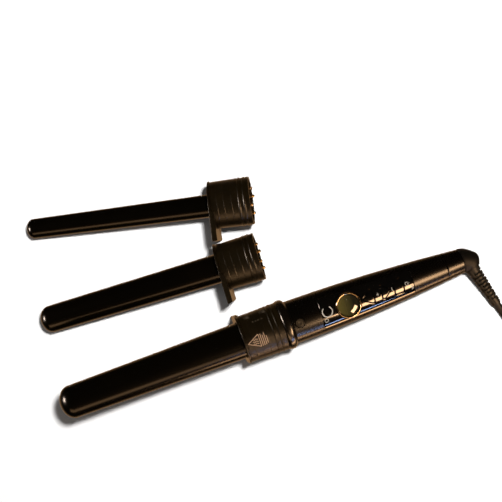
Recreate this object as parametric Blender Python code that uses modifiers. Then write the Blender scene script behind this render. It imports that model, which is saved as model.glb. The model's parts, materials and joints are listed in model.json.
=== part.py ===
"""A curling wand with three interchangeable barrels, its largest barrel fitted and two spare ones beside it.

The wand is laid out along its own axis: X is the distance from the front face of the barrel's flange, plus
towards the tail, and Z is up. Empties then place the wand, its controls and each spare barrel on the table,
which is the plane z = 0. The origin is the middle of the fitted barrel's rest foot, on the table.
"""

import math

import bmesh
import bpy
import numpy as np
from mathutils import Matrix, Vector

for old in list(bpy.data.objects):
    bpy.data.objects.remove(old, do_unlink=True)

MM = 0.001
GAP = 0.3 * MM  # between pieces that touch on the real object
SIDES = 28  # facets round a large turned piece
SMALL_SIDES = 12  # facets round a small one

# Barrels: a closed tube, a heat-guard sleeve, a flange with a rest foot, and a base with connector pins.
TUBE_LENGTH = 163 * MM  # from the flange's front face to the tip
TUBE_WALL = 1.2 * MM
TUBE_RADII = {  # at the root and at the dome
    "large": (16.0 * MM, 14.1 * MM),
    "medium": (12.8 * MM, 11.7 * MM),
    "small": (10.15 * MM, 8.6 * MM),
}
DOME_SHARE = 0.75  # how long the dome is, as a share of its radius
SLEEVE_R = 20.35 * MM  # at the flange
FLANGE_R = SLEEVE_R + 0.75 * MM
FLANGE_PLATE = 1.6 * MM
FOOT_THICK = 4.5 * MM
FOOT_DROP = 31 * MM  # from the barrel's axis to the foot's rest face
FOOT_TOP = 5.7 * MM  # the thick leg starts this far below the axis
SLEEVE_FLARE = 0.5 * MM  # how much wider it is at the handle
SLEEVE_WALL = 1.65 * MM
SLEEVE_LENGTH = 34.2 * MM
BEAD_HEIGHT = 0.45 * MM
BEAD_WIDTH = 1.8 * MM
BEADS_FROM_REAR = (4.7 * MM, 9.1 * MM)
BASE_FROM_REAR = (10 * MM, 18 * MM)  # the base disc's two faces
SPIGOT_LENGTH = 9.5 * MM
PIN_R = 1.5 * MM
PIN_CIRCLE = 11.5 * MM
PIN_COUNT = 4
PIN_CLOCK = math.radians(15)
PIN_STANDS_OUT = 2.3 * MM  # past the sleeve's rear edge
PIN_TIP = 1.0 * MM
PIN_ROOT = 6.5 * MM  # how deep a pin sits in the base
HEATER_LENGTH = 134 * MM
HEATER_THICK = 2.4 * MM
HEATER_WIDE = 7.4 * MM

# Handle: a nose with the lock ring, two shells, and a tail collar.
RING_LENGTH = 8.2 * MM
SOCKET_R = SLEEVE_R - SLEEVE_WALL - 0.5 * MM  # the block that a barrel's sleeve slides over
RING_INNER_R = SOCKET_R + 0.4 * MM
RING_R = RING_INNER_R + 3.3 * MM
NOSE_R = 18.75 * MM
TAIL_R = 10.6 * MM
TAPER_POWER = 1.9  # the handle narrows slowly at first, then faster
SHELL_LENGTH = 143.2 * MM
SPREAD = SHELL_LENGTH / 143.2  # a millimetre along the controls, which spread out with the shells
SHELL_WALL = 2.2 * MM
COLLAR_LENGTH = 15.8 * MM
SOCKET_TAIL_R = NOSE_R - SHELL_WALL - 0.35 * MM
SOCKET_HOLE_R = PIN_R + 0.5 * MM
SOCKET_IN_SHELLS = 13.7 * MM  # how far the block reaches into the shells
POCKET_FLOOR = NOSE_R - 10.25 * MM  # the release button's pocket, above the wand's axis
RELEASE_FOOT = NOSE_R - 4.25 * MM
SPRING_RADII = (3.3 * MM, 2.4 * MM)

# Controls, measured along the wand from the shells' front edge.
CONTROL_ROLL = math.radians(6)  # the handle is turned this far about its axis, towards -Y
PANEL = (25.4 * SPREAD, 110.4 * SPREAD)
PANEL_HALF_ARC = math.radians(45)
PANEL_THICK = 0.8 * MM
RELEASE_AT = 5.6 * MM
RELEASE_R = 3.85 * MM
DISPLAY_AT = 50.3 * SPREAD
BEZEL_R = 11.3 * MM
BEZEL_INNER_R = BEZEL_R - 1.6 * MM
DISPLAY_TOP = NOSE_R - 0.55 * MM  # above the wand's axis
UP_AT = (64.1 * SPREAD, 72.9 * SPREAD)  # apex, base
DOWN_AT = (88.0 * SPREAD, 80.9 * SPREAD)
ARROW_WIDE = 11.3 * MM
POWER_AT = 96.6 * SPREAD
POWER_LONG = 7.9 * SPREAD
POWER_WIDE = 12.4 * MM
KEY_CORNER = 1.2 * MM
KEY_PROUD = 0.4 * MM
KEY_BOTTOM = 11.5 * MM
ABOVE = 26 * MM  # clear above the handle
KEY_CLEAR = 0.35 * MM
SCREWS_AT = (SOCKET_IN_SHELLS + 6.0 * MM, 129.7 * SPREAD)
BOARD = (SCREWS_AT[0] + 5.5 * MM, 118.2 * SPREAD)
BOARD_Z = (5.2 * MM, 6.8 * MM)
BOARD_HALF_WIDE = 8.4 * MM
SWITCH_SIDE = 6.0 * MM
SCREW_R = 1.3 * MM
SCREW_HEAD_R = 2.6 * MM

# Swivel at the tail: an elbow cap that turns about the wand's axis, and the strain relief in its mouth.
ROTOR_R = 6.0 * MM
CAP_R = 10.8 * MM
CAP_TURN = math.radians(73.7)
CAP_PIVOT = 11.5 * MM  # from the wand's axis
CAP_MOUTH_W = 15.0 * MM
CAP_MOUTH_DEPTH = 7.6 * MM
SWIVEL_ROLL = math.radians(5)  # how far the cap is turned so that the lead comes down to the table
RELIEF_LENGTH = 39 * MM
RELIEF_ROOT_R = 6.2 * MM
RELIEF_TIP_R = 4.1 * MM
RELIEF_SEAT = 2.7 * MM
RELIEF_SLOTS = 4
RELIEF_PITCH = 2.9 * MM

# Mains lead: its route where it lies free, in metres on the table, and its coil. Both follow the wand's tail.
CORD_R = 3.1 * MM
COIL_LIFT = 0.9 * MM  # the coil lies on its tie
COIL_CENTRE = (281.5 * MM, -71.5 * MM)
COIL_OUT_R = 49.7 * MM
COIL_IN_R = 24.9 * MM
CAP_START_LAID = 204.5 * MM  # the swivel cap's place along the wand for which the cord's points are given
LEAD_ROUTE = [
    (0.2229, -0.0469, 0.0049),
    (0.2247, -0.0532, 0.0042),
    (0.2265, -0.0595, 0.0037),
]
TAIL_ROUTE = [
    (0.3157, -0.0260, 0.0101),
    (0.3126, -0.0155, 0.0097),
    (0.3097, -0.0050, 0.0092),
]
PLUG_LENGTH = 38 * MM
BLADE_LENGTH = 17 * MM

SLEEVE_START = FLANGE_PLATE + GAP
SLEEVE_END = SLEEVE_START + SLEEVE_LENGTH
RING_START = SLEEVE_END + GAP
RING_END = RING_START + RING_LENGTH
SHELL_START = RING_END + GAP
SHELL_END = SHELL_START + SHELL_LENGTH
COLLAR_START = SHELL_END + GAP
COLLAR_END = COLLAR_START + COLLAR_LENGTH
CAP_START = COLLAR_END + GAP
BASE_FRONT = SLEEVE_END - BASE_FROM_REAR[1]
BASE_REAR = SLEEVE_END - BASE_FROM_REAR[0]

PARTS = bpy.data.collections.new("curling_wand")
CUTTERS = bpy.data.collections.new("cutters")
for group in (PARTS, CUTTERS):
    bpy.context.scene.collection.children.link(group)


def finish(name, colour, roughness, metallic=0.0):
    """One plain material, made once."""
    made = bpy.data.materials.new(name)
    made.use_nodes = True
    shader = made.node_tree.nodes["Principled BSDF"]
    shader.inputs["Base Color"].default_value = (*colour, 1.0)
    shader.inputs["Roughness"].default_value = roughness
    shader.inputs["Metallic"].default_value = metallic
    made.diffuse_color = (*colour, 1.0)
    return made


BLACK_SATIN = finish("black_satin_plastic", (0.02, 0.017, 0.014), 0.35)
BLACK_GLOSS = finish("black_gloss_plastic", (0.01, 0.009, 0.008), 0.12)
BLACK_MATTE = finish("black_matte_plastic", (0.022, 0.018, 0.015), 0.6)
BLACK_CERAMIC = finish("black_ceramic", (0.015, 0.012, 0.008), 0.25)
CHROME = finish("chrome", (0.75, 0.73, 0.7), 0.1, 1.0)
PIN_METAL = finish("brass", (0.7, 0.55, 0.28), 0.3, 1.0)
ALUMINIUM = finish("aluminium", (0.75, 0.75, 0.76), 0.4, 1.0)
HEATER_CERAMIC = finish("heater_ceramic", (0.85, 0.83, 0.78), 0.7)
BOARD_GREEN = finish("board_green", (0.02, 0.2, 0.07), 0.5)
STEEL = finish("steel", (0.6, 0.6, 0.6), 0.35, 1.0)
LENS = finish("display_lens", (0.06, 0.05, 0.02), 0.05)
RUBBER = finish("black_rubber", (0.015, 0.015, 0.015), 0.75)


def place(name, matrix, parent=None):
    """An empty that holds pieces at a place."""
    empty = bpy.data.objects.new(name, None)
    PARTS.objects.link(empty)
    empty.parent = parent
    empty.matrix_local = matrix
    return empty


def put(name, mesh, parent, material, at=(0, 0, 0)):
    """A piece, or a cutter where it has no material, in its parent's frame."""
    made = bpy.data.objects.new(name, mesh)
    (CUTTERS if material is None else PARTS).objects.link(made)
    made.parent = parent
    made.location = at
    if material is None:
        made.hide_render = True
        made.display_type = "WIRE"
    else:
        mesh.materials.append(material)
    return made


def mesh_of(name, bm):
    """The mesh of a closed bmesh, with its faces turned outwards."""
    bmesh.ops.recalc_face_normals(bm, faces=bm.faces)
    mesh = bpy.data.meshes.new(name)
    bm.to_mesh(mesh)
    bm.free()
    return mesh


def turned(name, profile, parent, material, sides=SIDES, upright=False, at=(0, 0, 0)):
    """A turned piece. Its profile is (along, radius), with the outer side running from far to near along X, or
    from top to bottom along Z when upright. A profile that starts on the axis is open, and any other closes."""
    mesh = bpy.data.meshes.new(name)
    points = [(r, 0, s) if upright else (s, r, 0) for s, r in profile]
    count = len(points)
    solid = profile[0][1] == 0
    edges = [(i, (i + 1) % count) for i in range(count - 1 if solid else count)]
    mesh.from_pydata(points, edges, [])
    made = put(name, mesh, parent, material, at)
    screw = made.modifiers.new("turn", "SCREW")
    screw.axis = "Z" if upright else "X"
    screw.steps = screw.render_steps = sides
    screw.use_merge_vertices = True
    screw.merge_threshold = 0.00001
    return made


def rod(name, radius, low, high, parent, material, sides=SMALL_SIDES, upright=False, at=(0, 0, 0)):
    """A plain cylinder along X, or along Z when upright."""
    profile = [(high, 0), (high, radius), (low, radius), (low, 0)]
    return turned(name, profile, parent, material, sides, upright, at)


def block(name, low, high, parent, material, bevel=0.0):
    """A box between two corners."""
    bm = bmesh.new()
    bmesh.ops.create_cube(bm, size=1.0)
    low, high = Vector(low), Vector(high)
    bmesh.ops.scale(bm, vec=high - low, verts=bm.verts)
    bmesh.ops.translate(bm, vec=(low + high) / 2, verts=bm.verts)
    made = put(name, mesh_of(name, bm), parent, material)
    if bevel:
        edge = made.modifiers.new("edges", "BEVEL")
        edge.width = bevel
        edge.segments = 2
    return made


def prism(name, outline, low, high, parent, material, along_x=False):
    """A flat outline carried straight from low to high, along Z or along X."""
    bm = bmesh.new()
    start = [(low, u, v) if along_x else (u, v, low) for u, v in outline]
    face = bm.faces.new([bm.verts.new(p) for p in start])
    moved = bmesh.ops.extrude_face_region(bm, geom=[face])["geom"]
    step = (high - low, 0, 0) if along_x else (0, 0, high - low)
    bmesh.ops.translate(bm, vec=step, verts=[v for v in moved if isinstance(v, bmesh.types.BMVert)])
    return put(name, mesh_of(name, bm), parent, material)


def lofted(name, rings, parent, material):
    """A closed skin through rings of points, with flat ends."""
    bm = bmesh.new()
    rows = [[bm.verts.new(p) for p in ring] for ring in rings]
    count = len(rows[0])
    for near, far in zip(rows, rows[1:]):
        for i in range(count):
            j = (i + 1) % count
            bm.faces.new([near[i], near[j], far[j], far[i]])
    bm.faces.new(rows[0])
    bm.faces.new(rows[-1])
    return put(name, mesh_of(name, bm), parent, material)


def cut(target, cutter, operation="DIFFERENCE"):
    """Cuts a piece with a cutter, joins them, or keeps what they share."""
    boolean = target.modifiers.new(cutter.name, "BOOLEAN")
    boolean.operation = operation
    boolean.object = cutter
    boolean.solver = "EXACT"


def rounded(core, radius, steps=4):
    """The outline a disc of this radius sweeps round a convex core, whose corners run anticlockwise."""
    outline = []
    for i, corner in enumerate(core):
        before, after = Vector(core[i - 1]), Vector(core[(i + 1) % len(core)])
        corner = Vector(corner)
        into, out = corner - before, after - corner
        first = math.atan2(-into.x, into.y)
        turn = (math.atan2(-out.x, out.y) - first) % math.tau
        for k in range(steps + 1):
            angle = first + turn * k / steps
            outline.append((corner.x + radius * math.cos(angle), corner.y + radius * math.sin(angle)))
    return outline


def handle_radius(x):
    """The handle's outer radius: it falls from the nose to the tail by a power of the way along."""
    way = max(0.0, (x - SHELL_START) / (COLLAR_END - SHELL_START))
    return NOSE_R - (NOSE_R - TAIL_R) * way**TAPER_POWER


def stations(low, high, count):
    """Evenly spaced places from high to low."""
    return [high + (low - high) * k / (count - 1) for k in range(count)]


# Where everything stands. The wand lies on its foot and on its swivel cap, with the tail down.
FOOT_MIDDLE = FOOT_THICK / 2
TILT = math.atan2(FOOT_DROP - CAP_R, CAP_START + 1.5 * MM - FOOT_MIDDLE)
WAND_AT = (
    FOOT_DROP * math.sin(TILT) - FOOT_MIDDLE * math.cos(TILT),
    0,
    FOOT_MIDDLE * math.sin(TILT) + FOOT_DROP * math.cos(TILT),
)
wand = place("wand_frame", Matrix.Translation(WAND_AT) @ Matrix.Rotation(TILT, 4, "Y"))
handle = place("handle_frame", Matrix.Rotation(CONTROL_ROLL, 4, "X"), wand)
swivel = place("swivel_frame", Matrix.Rotation(SWIVEL_ROLL, 4, "X"), wand)
cord = place("cord_frame", Matrix.Translation(((CAP_START - CAP_START_LAID) * math.cos(TILT), 0, 0)))

SPARES = {  # where each spare barrel's flange stands on the table, and which way the barrel points
    "medium": (3.3 * MM, 2 * FLANGE_R + 22.6 * MM, math.radians(-2.7)),
    "small": (14.0 * MM, 4 * FLANGE_R + 34.0 * MM, math.radians(-12.3)),
}


def lying_frame(size):
    """A spare barrel lies on its foot's flat side and on its dome: rolled a quarter turn, and pitched until the
    dome's shoulder comes down to the table."""
    x, y, yaw = SPARES[size]
    tip_r = TUBE_RADII[size][1]
    pitch = math.atan2(FLANGE_R - tip_r - 0.1 * MM, TUBE_LENGTH - DOME_SHARE * tip_r)
    height = FLANGE_R * math.cos(pitch)
    rolled = Matrix.Rotation(-pitch, 4, "Y") @ Matrix.Rotation(-math.pi / 2, 4, "X")
    turn = Matrix.Rotation(yaw, 4, "Z") @ rolled
    return place(size + "_frame", Matrix.Translation((x, y, height)) @ turn)


def pin_places(roll):
    """Where the connector pins are round the axis, as (y, z)."""
    angles = [PIN_CLOCK + roll + k * math.tau / PIN_COUNT for k in range(PIN_COUNT)]
    return [(PIN_CIRCLE * math.cos(angle), PIN_CIRCLE * math.sin(angle)) for angle in angles]


def pin_holes(name, radius, low, high, parent, roll):
    """A cutter for all the pins' holes."""
    bm = bmesh.new()
    for y, z in pin_places(roll):
        turn = Matrix.Translation(((low + high) / 2, y, z)) @ Matrix.Rotation(math.pi / 2, 4, "Y")
        bmesh.ops.create_cone(
            bm, cap_ends=True, segments=SMALL_SIDES, radius1=radius, radius2=radius,
            depth=high - low, matrix=turn
        )
    return put(name, mesh_of(name, bm), parent, None)


def barrel_tube(size, frame):
    """The heated tube: tapered, closed by an elliptical dome, open at its root, with an even wall."""
    root_r, tip_r = TUBE_RADII[size]
    root = BASE_FRONT - GAP
    shoulder = DOME_SHARE * tip_r - TUBE_LENGTH
    arc = [math.radians(90) * k / 5 for k in range(6)]
    inner_tip, inner_dome = tip_r - TUBE_WALL, DOME_SHARE * tip_r - TUBE_WALL
    inside = [(shoulder - inner_dome * math.cos(a), inner_tip * math.sin(a)) for a in arc]
    outside = [(shoulder - DOME_SHARE * tip_r * math.cos(a), tip_r * math.sin(a)) for a in reversed(arc)]
    profile = [*inside, (root, root_r - TUBE_WALL), (root, root_r), *outside]
    profile[0] = (profile[0][0], 0)
    profile[-1] = (profile[-1][0], 0)
    turned(size + "_tube", profile, frame, BLACK_CERAMIC)


def sleeve_outer(x):
    """The sleeve's outer radius, a little wider towards the handle."""
    return SLEEVE_R + SLEEVE_FLARE * (x - SLEEVE_START) / SLEEVE_LENGTH


def barrel_sleeve(size, frame):
    """The heat guard that a hand turns: a plain wall with two raised beads near the handle."""
    outside = [(SLEEVE_END, sleeve_outer(SLEEVE_END))]
    for back in BEADS_FROM_REAR:
        middle = SLEEVE_END - back
        for shift, rise in ((0.5, 0), (0.2, 1), (-0.2, 1), (-0.5, 0)):
            x = middle + shift * BEAD_WIDTH
            outside.append((x, sleeve_outer(x) + rise * BEAD_HEIGHT))
    outside.append((SLEEVE_START, SLEEVE_R))
    inner = SLEEVE_R - SLEEVE_WALL
    turned(size + "_sleeve", [*outside, (SLEEVE_START, inner), (SLEEVE_END, inner)], frame, BLACK_MATTE)


def barrel_foot(size, frame):
    """The flange plate in front of the sleeve, with a thick straight-sided leg below it. The leg's end is cut in
    the plane of the table, as it stands when this barrel is on the handle."""
    arc = [math.pi * k / 18 for k in range(19)]
    outline = [(FLANGE_R * math.cos(a), FLANGE_R * math.sin(a)) for a in arc]
    below = 2 * MM
    outline += [(-FLANGE_R, -FOOT_DROP - below), (FLANGE_R, -FOOT_DROP - below)]
    foot = prism(size + "_foot", outline, 0, FOOT_THICK, frame, BLACK_MATTE, along_x=True)
    bm = bmesh.new()
    bm.from_mesh(foot.data)
    table = Vector((math.sin(TILT), 0, -math.cos(TILT)))
    trimmed = bmesh.ops.bisect_plane(
        bm,
        geom=[*bm.verts, *bm.edges, *bm.faces],
        plane_co=(FOOT_MIDDLE, 0, -FOOT_DROP),
        plane_no=table,
        clear_outer=True,
    )
    rim = [e for e in trimmed["geom_cut"] if isinstance(e, bmesh.types.BMEdge)]
    bmesh.ops.contextual_create(bm, geom=rim)
    bmesh.ops.recalc_face_normals(bm, faces=bm.faces)
    bm.to_mesh(foot.data)
    bm.free()
    past = FOOT_THICK + 1 * MM
    wide = FLANGE_R + 1 * MM
    hole = TUBE_RADII[size][0] + 0.5 * MM
    cut(foot, rod(size + "_sleeve_bite", SLEEVE_R + 0.35 * MM, FLANGE_PLATE, past, frame, None, SIDES))
    upper = block(size + "_leg_top", (FLANGE_PLATE, -wide, -FOOT_TOP), (past, wide, wide), frame, None)
    cut(foot, upper)
    cut(foot, rod(size + "_tube_hole", hole, -1 * MM, past, frame, None, SIDES))


def barrel_inside(size, frame):
    """What closes the barrel's root and what heats it: the base with its pins, the spreader and the heater."""
    root_r, tip_r = TUBE_RADII[size]
    spigot_r = root_r - TUBE_WALL - GAP
    disc_r = SLEEVE_R - SLEEVE_WALL - GAP
    spigot = BASE_FRONT - SPIGOT_LENGTH
    profile = [(BASE_REAR, 0), (BASE_REAR, disc_r), (BASE_FRONT, disc_r), (BASE_FRONT, spigot_r)]
    base = turned(size + "_base", [*profile, (spigot, spigot_r), (spigot, 0)], frame, BLACK_MATTE)
    pin_start = BASE_REAR - PIN_ROOT
    clear = PIN_R + GAP
    cut(base, pin_holes(size + "_pin_holes", clear, pin_start - GAP, BASE_REAR + 1 * MM, frame, CONTROL_ROLL))
    tip = SLEEVE_END + PIN_STANDS_OUT
    for k, (y, z) in enumerate(pin_places(CONTROL_ROLL)):
        shape = [(tip, 0), (tip, 0.6 * PIN_R), (tip - PIN_TIP, PIN_R), (pin_start, PIN_R), (pin_start, 0)]
        turned(f"{size}_pin_{k + 1}", shape, frame, PIN_METAL, SMALL_SIDES, at=(0, y, z))
    heater_end = spigot - 4 * MM
    heater_start = heater_end - HEATER_LENGTH
    margin = 4 * MM
    spreader_r = tip_r - TUBE_WALL - 0.7 * MM
    spreader = rod(
        size + "_heat_spreader", spreader_r, heater_start - margin, heater_end, frame, ALUMINIUM, SIDES // 2
    )
    half_wide, half_thick = HEATER_WIDE / 2, HEATER_THICK / 2
    slot = block(
        size + "_heater_slot",
        (heater_start - 2 * margin, -half_wide - GAP, -half_thick - GAP),
        (heater_end + margin, half_wide + GAP, half_thick + GAP),
        frame,
        None,
    )
    cut(spreader, slot)
    block(
        size + "_ptc_heater",
        (heater_start, -half_wide, -half_thick),
        (heater_end - margin, half_wide, half_thick),
        frame,
        HEATER_CERAMIC,
    )


large = place("large_frame", Matrix.Identity(4), wand)
for barrel in TUBE_RADII:
    standing = large if barrel == "large" else lying_frame(barrel)
    barrel_tube(barrel, standing)
    barrel_sleeve(barrel, standing)
    barrel_foot(barrel, standing)
    barrel_inside(barrel, standing)


# Lock ring: a bulged ring between the barrel's sleeve and the handle, which turns to lock the barrel.
RING_BULGE = [
    (RING_END, NOSE_R + 0.2 * MM),
    (RING_END - 0.12 * RING_LENGTH, RING_R - 1.2 * MM),
    (RING_END - 0.35 * RING_LENGTH, RING_R - 0.25 * MM),
    (RING_END - 0.6 * RING_LENGTH, RING_R),
    (RING_END - 0.85 * RING_LENGTH, RING_R - 0.35 * MM),
    (RING_START, RING_R - 1.2 * MM),
    (RING_START, RING_INNER_R),
    (RING_END, RING_INNER_R),
]
turned("lock_ring", RING_BULGE, handle, BLACK_SATIN)

# Socket block: carries the contacts that the pins push into, and the release button's pocket.
SOCKET_START = BASE_REAR + 0.5 * MM
SOCKET_END = SHELL_START + SOCKET_IN_SHELLS
socket = turned(
    "socket_block",
    [
        (SOCKET_END, 0),
        (SOCKET_END, SOCKET_TAIL_R),
        (RING_END, SOCKET_TAIL_R),
        (RING_END, SOCKET_R),
        (SOCKET_START, SOCKET_R),
        (SOCKET_START, 0),
    ],
    handle,
    BLACK_MATTE,
)
PIN_REACH = SLEEVE_END + PIN_STANDS_OUT
cut(socket, pin_holes("socket_holes", SOCKET_HOLE_R, SOCKET_START - 1 * MM, PIN_REACH + 3 * MM, handle, 0.0))
RELEASE_X = SHELL_START + RELEASE_AT
release_place = (RELEASE_X, 0, 0)
WELL_R = RELEASE_R + 0.75 * MM
pocket = rod("release_pocket", WELL_R, POCKET_FLOOR, ABOVE, handle, None, 16, True, release_place)
cut(socket, pocket)
SPRING_TOP, SPRING_FOOT = RELEASE_FOOT - 1.5 * MM, POCKET_FLOOR + GAP
SPRING_OUT, SPRING_IN = SPRING_RADII
SPRING = [
    (SPRING_TOP, SPRING_OUT),
    (SPRING_FOOT, SPRING_OUT),
    (SPRING_FOOT, SPRING_IN),
    (SPRING_TOP, SPRING_IN),
]
turned("release_spring", SPRING, handle, STEEL, SMALL_SIDES, True, release_place)
RELEASE_TOP = handle_radius(RELEASE_X) + 0.6 * MM
RELEASE = [
    (RELEASE_TOP, 0),
    (RELEASE_TOP - 0.1 * MM, 0.6 * RELEASE_R),
    (RELEASE_TOP - 0.5 * MM, RELEASE_R),
    (RELEASE_FOOT, RELEASE_R),
    (RELEASE_FOOT, 0),
]
turned("release_button", RELEASE, handle, BLACK_SATIN, 16, True, release_place)


def shell_profile(outer_shift, inner_shift, low, high, count):
    """A closed profile between two lines that follow the handle's outer surface."""
    places = stations(low, high, count)
    outer = [(x, handle_radius(x) + outer_shift) for x in places]
    return outer + [(x, handle_radius(x) + inner_shift) for x in reversed(places)]


def key_outlines():
    """Each key's core, for the arrows and the power key, in (x, y), anticlockwise."""
    half = ARROW_WIDE / 2 - KEY_CORNER
    up_apex, up_base = SHELL_START + UP_AT[0] + KEY_CORNER, SHELL_START + UP_AT[1] - KEY_CORNER
    down_apex, down_base = SHELL_START + DOWN_AT[0] - KEY_CORNER, SHELL_START + DOWN_AT[1] + KEY_CORNER
    power = SHELL_START + POWER_AT
    long, wide = POWER_LONG / 2 - KEY_CORNER, POWER_WIDE / 2 - KEY_CORNER
    return {
        "up": [(up_apex, 0), (up_base, -half), (up_base, half)],
        "down": [(down_apex, 0), (down_base, half), (down_base, -half)],
        "power": [(power - long, -wide), (power + long, -wide), (power + long, wide), (power - long, wide)],
    }


def arc_block(name, profile, half_arc, parent, material, steps):
    """A solid swept round the wand's axis, between two angles each side of the top."""
    bm = bmesh.new()
    start = [(x, -r * math.sin(half_arc), r * math.cos(half_arc)) for x, r in profile]
    face = bm.faces.new([bm.verts.new(p) for p in start])
    geometry = [face, *face.verts, *face.edges]
    bmesh.ops.spin(bm, geom=geometry, cent=(0, 0, 0), axis=(1, 0, 0), angle=-2 * half_arc, steps=steps)
    bmesh.ops.remove_doubles(bm, verts=bm.verts, dist=0.000001)
    return put(name, mesh_of(name, bm), parent, material)


# Shells: one turned wall, split along the handle's sides, with bosses for two screws.
SEAM = 0.15 * MM
FAR = 60 * MM
BOSS_BITE = 0.9 * MM  # how far a boss runs into the wall
DISPLAY_X = SHELL_START + DISPLAY_AT
WINDOW_FLOOR = 9 * MM  # the openings for the display and the keys are cut down to here, well inside the shell
display_place = (DISPLAY_X, 0, 0)


def half_shell(name, side, boss_r):
    """The half of the handle's wall on one side of the seam, +1 above it and -1 below it, with a boss for each
    screw."""
    wall = shell_profile(0, -SHELL_WALL, SHELL_START, SHELL_END, 10)
    shell = turned(name, wall, handle, BLACK_SATIN)
    for end, along in zip(("front", "rear"), SCREWS_AT):
        x = SHELL_START + along
        low, high = sorted((side * GAP, side * (handle_radius(x) - SHELL_WALL + BOSS_BITE)))
        boss = rod(f"{name}_{end}_boss", boss_r, low, high, handle, None, 12, True, (x, 0, 0))
        cut(shell, boss, "UNION")
    low, high = sorted((side * SEAM, -side * FAR))
    corners = (SHELL_START - FAR, -FAR, low), (SHELL_END + FAR, FAR, high)
    other = block(name + "_other_half", *corners, handle, None)
    cut(shell, other)
    return shell


def screw_cutter(name, radius, low, highs):
    """A cutter for both screws' holes, each from low up to its own height."""
    bm = bmesh.new()
    for along, high in zip(SCREWS_AT, highs):
        middle = Matrix.Translation((SHELL_START + along, 0, (low + high) / 2))
        bmesh.ops.create_cone(
            bm, cap_ends=True, segments=10, radius1=radius, radius2=radius, depth=high - low, matrix=middle
        )
    return put(name, mesh_of(name, bm), handle, None)


def screw_holes(upper, lower):
    """A pilot hole in each upper boss and a counterbored hole in each lower one, with the screw in them."""
    floor = 6 * MM
    places = [SHELL_START + along for along in SCREWS_AT]
    reaches = [handle_radius(x) - SHELL_WALL + BOSS_BITE - 5 * MM for x in places]
    cut(upper, screw_cutter("pilot_holes", SCREW_R + 0.2 * MM, -1 * MM, reaches))
    cut(lower, screw_cutter("counterbores", SCREW_HEAD_R + 0.4 * MM, -FAR, (-floor, -floor)))
    cut(lower, screw_cutter("through_holes", SCREW_R + 0.4 * MM, -floor - 1 * MM, (1 * MM, 1 * MM)))
    head = floor + GAP
    for end, x, reach in zip(("front", "rear"), places, reaches):
        screw = [
            (reach - 1 * MM, 0),
            (reach - 1 * MM, SCREW_R),
            (-head, SCREW_R),
            (-head, SCREW_HEAD_R),
            (-head - 2.2 * MM, SCREW_HEAD_R),
            (-head - 2.2 * MM, 0),
        ]
        turned(f"shell_screw_{end}", screw, handle, STEEL, SMALL_SIDES, True, (x, 0, 0))


upper_shell = half_shell("handle_upper_shell", 1, 3.0 * MM)
lower_shell = half_shell("handle_lower_shell", -1, 4.2 * MM)
PANEL_LOW, PANEL_HIGH = SHELL_START + PANEL[0], SHELL_START + PANEL[1]
PANEL_PROUD = 0.1 * MM
RECESS_DEEP = PANEL_THICK - PANEL_PROUD + GAP
recess_profile = shell_profile(3 * MM, -RECESS_DEEP, PANEL_LOW - GAP, PANEL_HIGH + GAP, 8)
cut(upper_shell, arc_block("panel_recess", recess_profile, PANEL_HALF_ARC + 0.018, handle, None, 12))
HOLE_R = RELEASE_R + KEY_CLEAR
cut(upper_shell, rod("release_hole", HOLE_R, WINDOW_FLOOR, ABOVE, handle, None, 16, True, release_place))
panel_profile = shell_profile(PANEL_PROUD, PANEL_PROUD - PANEL_THICK, PANEL_LOW, PANEL_HIGH, 8)
panel = arc_block("control_panel", panel_profile, PANEL_HALF_ARC, handle, BLACK_GLOSS, 12)
window = rod("display_hole", BEZEL_R + GAP, WINDOW_FLOOR, ABOVE, handle, None, SIDES, True, display_place)
cut(upper_shell, window)
cut(panel, window)
screw_holes(upper_shell, lower_shell)

# Keys: each is a rounded outline, cut off by a crown that stands proud of the handle's own surface.
crown_places = stations(SHELL_START, SHELL_END, 10)
crown = turned(
    "key_crown",
    [(SHELL_END, 0), *((x, handle_radius(x) + KEY_PROUD) for x in crown_places), (SHELL_START, 0)],
    handle,
    None,
    2 * SIDES,
)
SWITCH_LOW, SWITCH_HIGH = BOARD_Z[1] + GAP, BOARD_Z[1] + 3.6 * MM
for key, core in key_outlines().items():
    button = prism(key + "_button", rounded(core, KEY_CORNER), KEY_BOTTOM, ABOVE, handle, BLACK_GLOSS)
    cut(button, crown, "INTERSECT")
    hole = prism(key + "_hole", rounded(core, KEY_CORNER + KEY_CLEAR), WINDOW_FLOOR, ABOVE, handle, None)
    cut(upper_shell, hole)
    cut(panel, hole)
    middle = sum(x for x, _ in core) / len(core)
    half = SWITCH_SIDE / 2
    block(
        key + "_switch",
        (middle - half, -half, SWITCH_LOW),
        (middle + half, half, SWITCH_HIGH),
        handle,
        BLACK_MATTE,
        0.4 * MM,
    )

block(
    "circuit_board",
    (SHELL_START + BOARD[0], -BOARD_HALF_WIDE, BOARD_Z[0]),
    (SHELL_START + BOARD[1], BOARD_HALF_WIDE, BOARD_Z[1]),
    handle,
    BOARD_GREEN,
)

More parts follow.
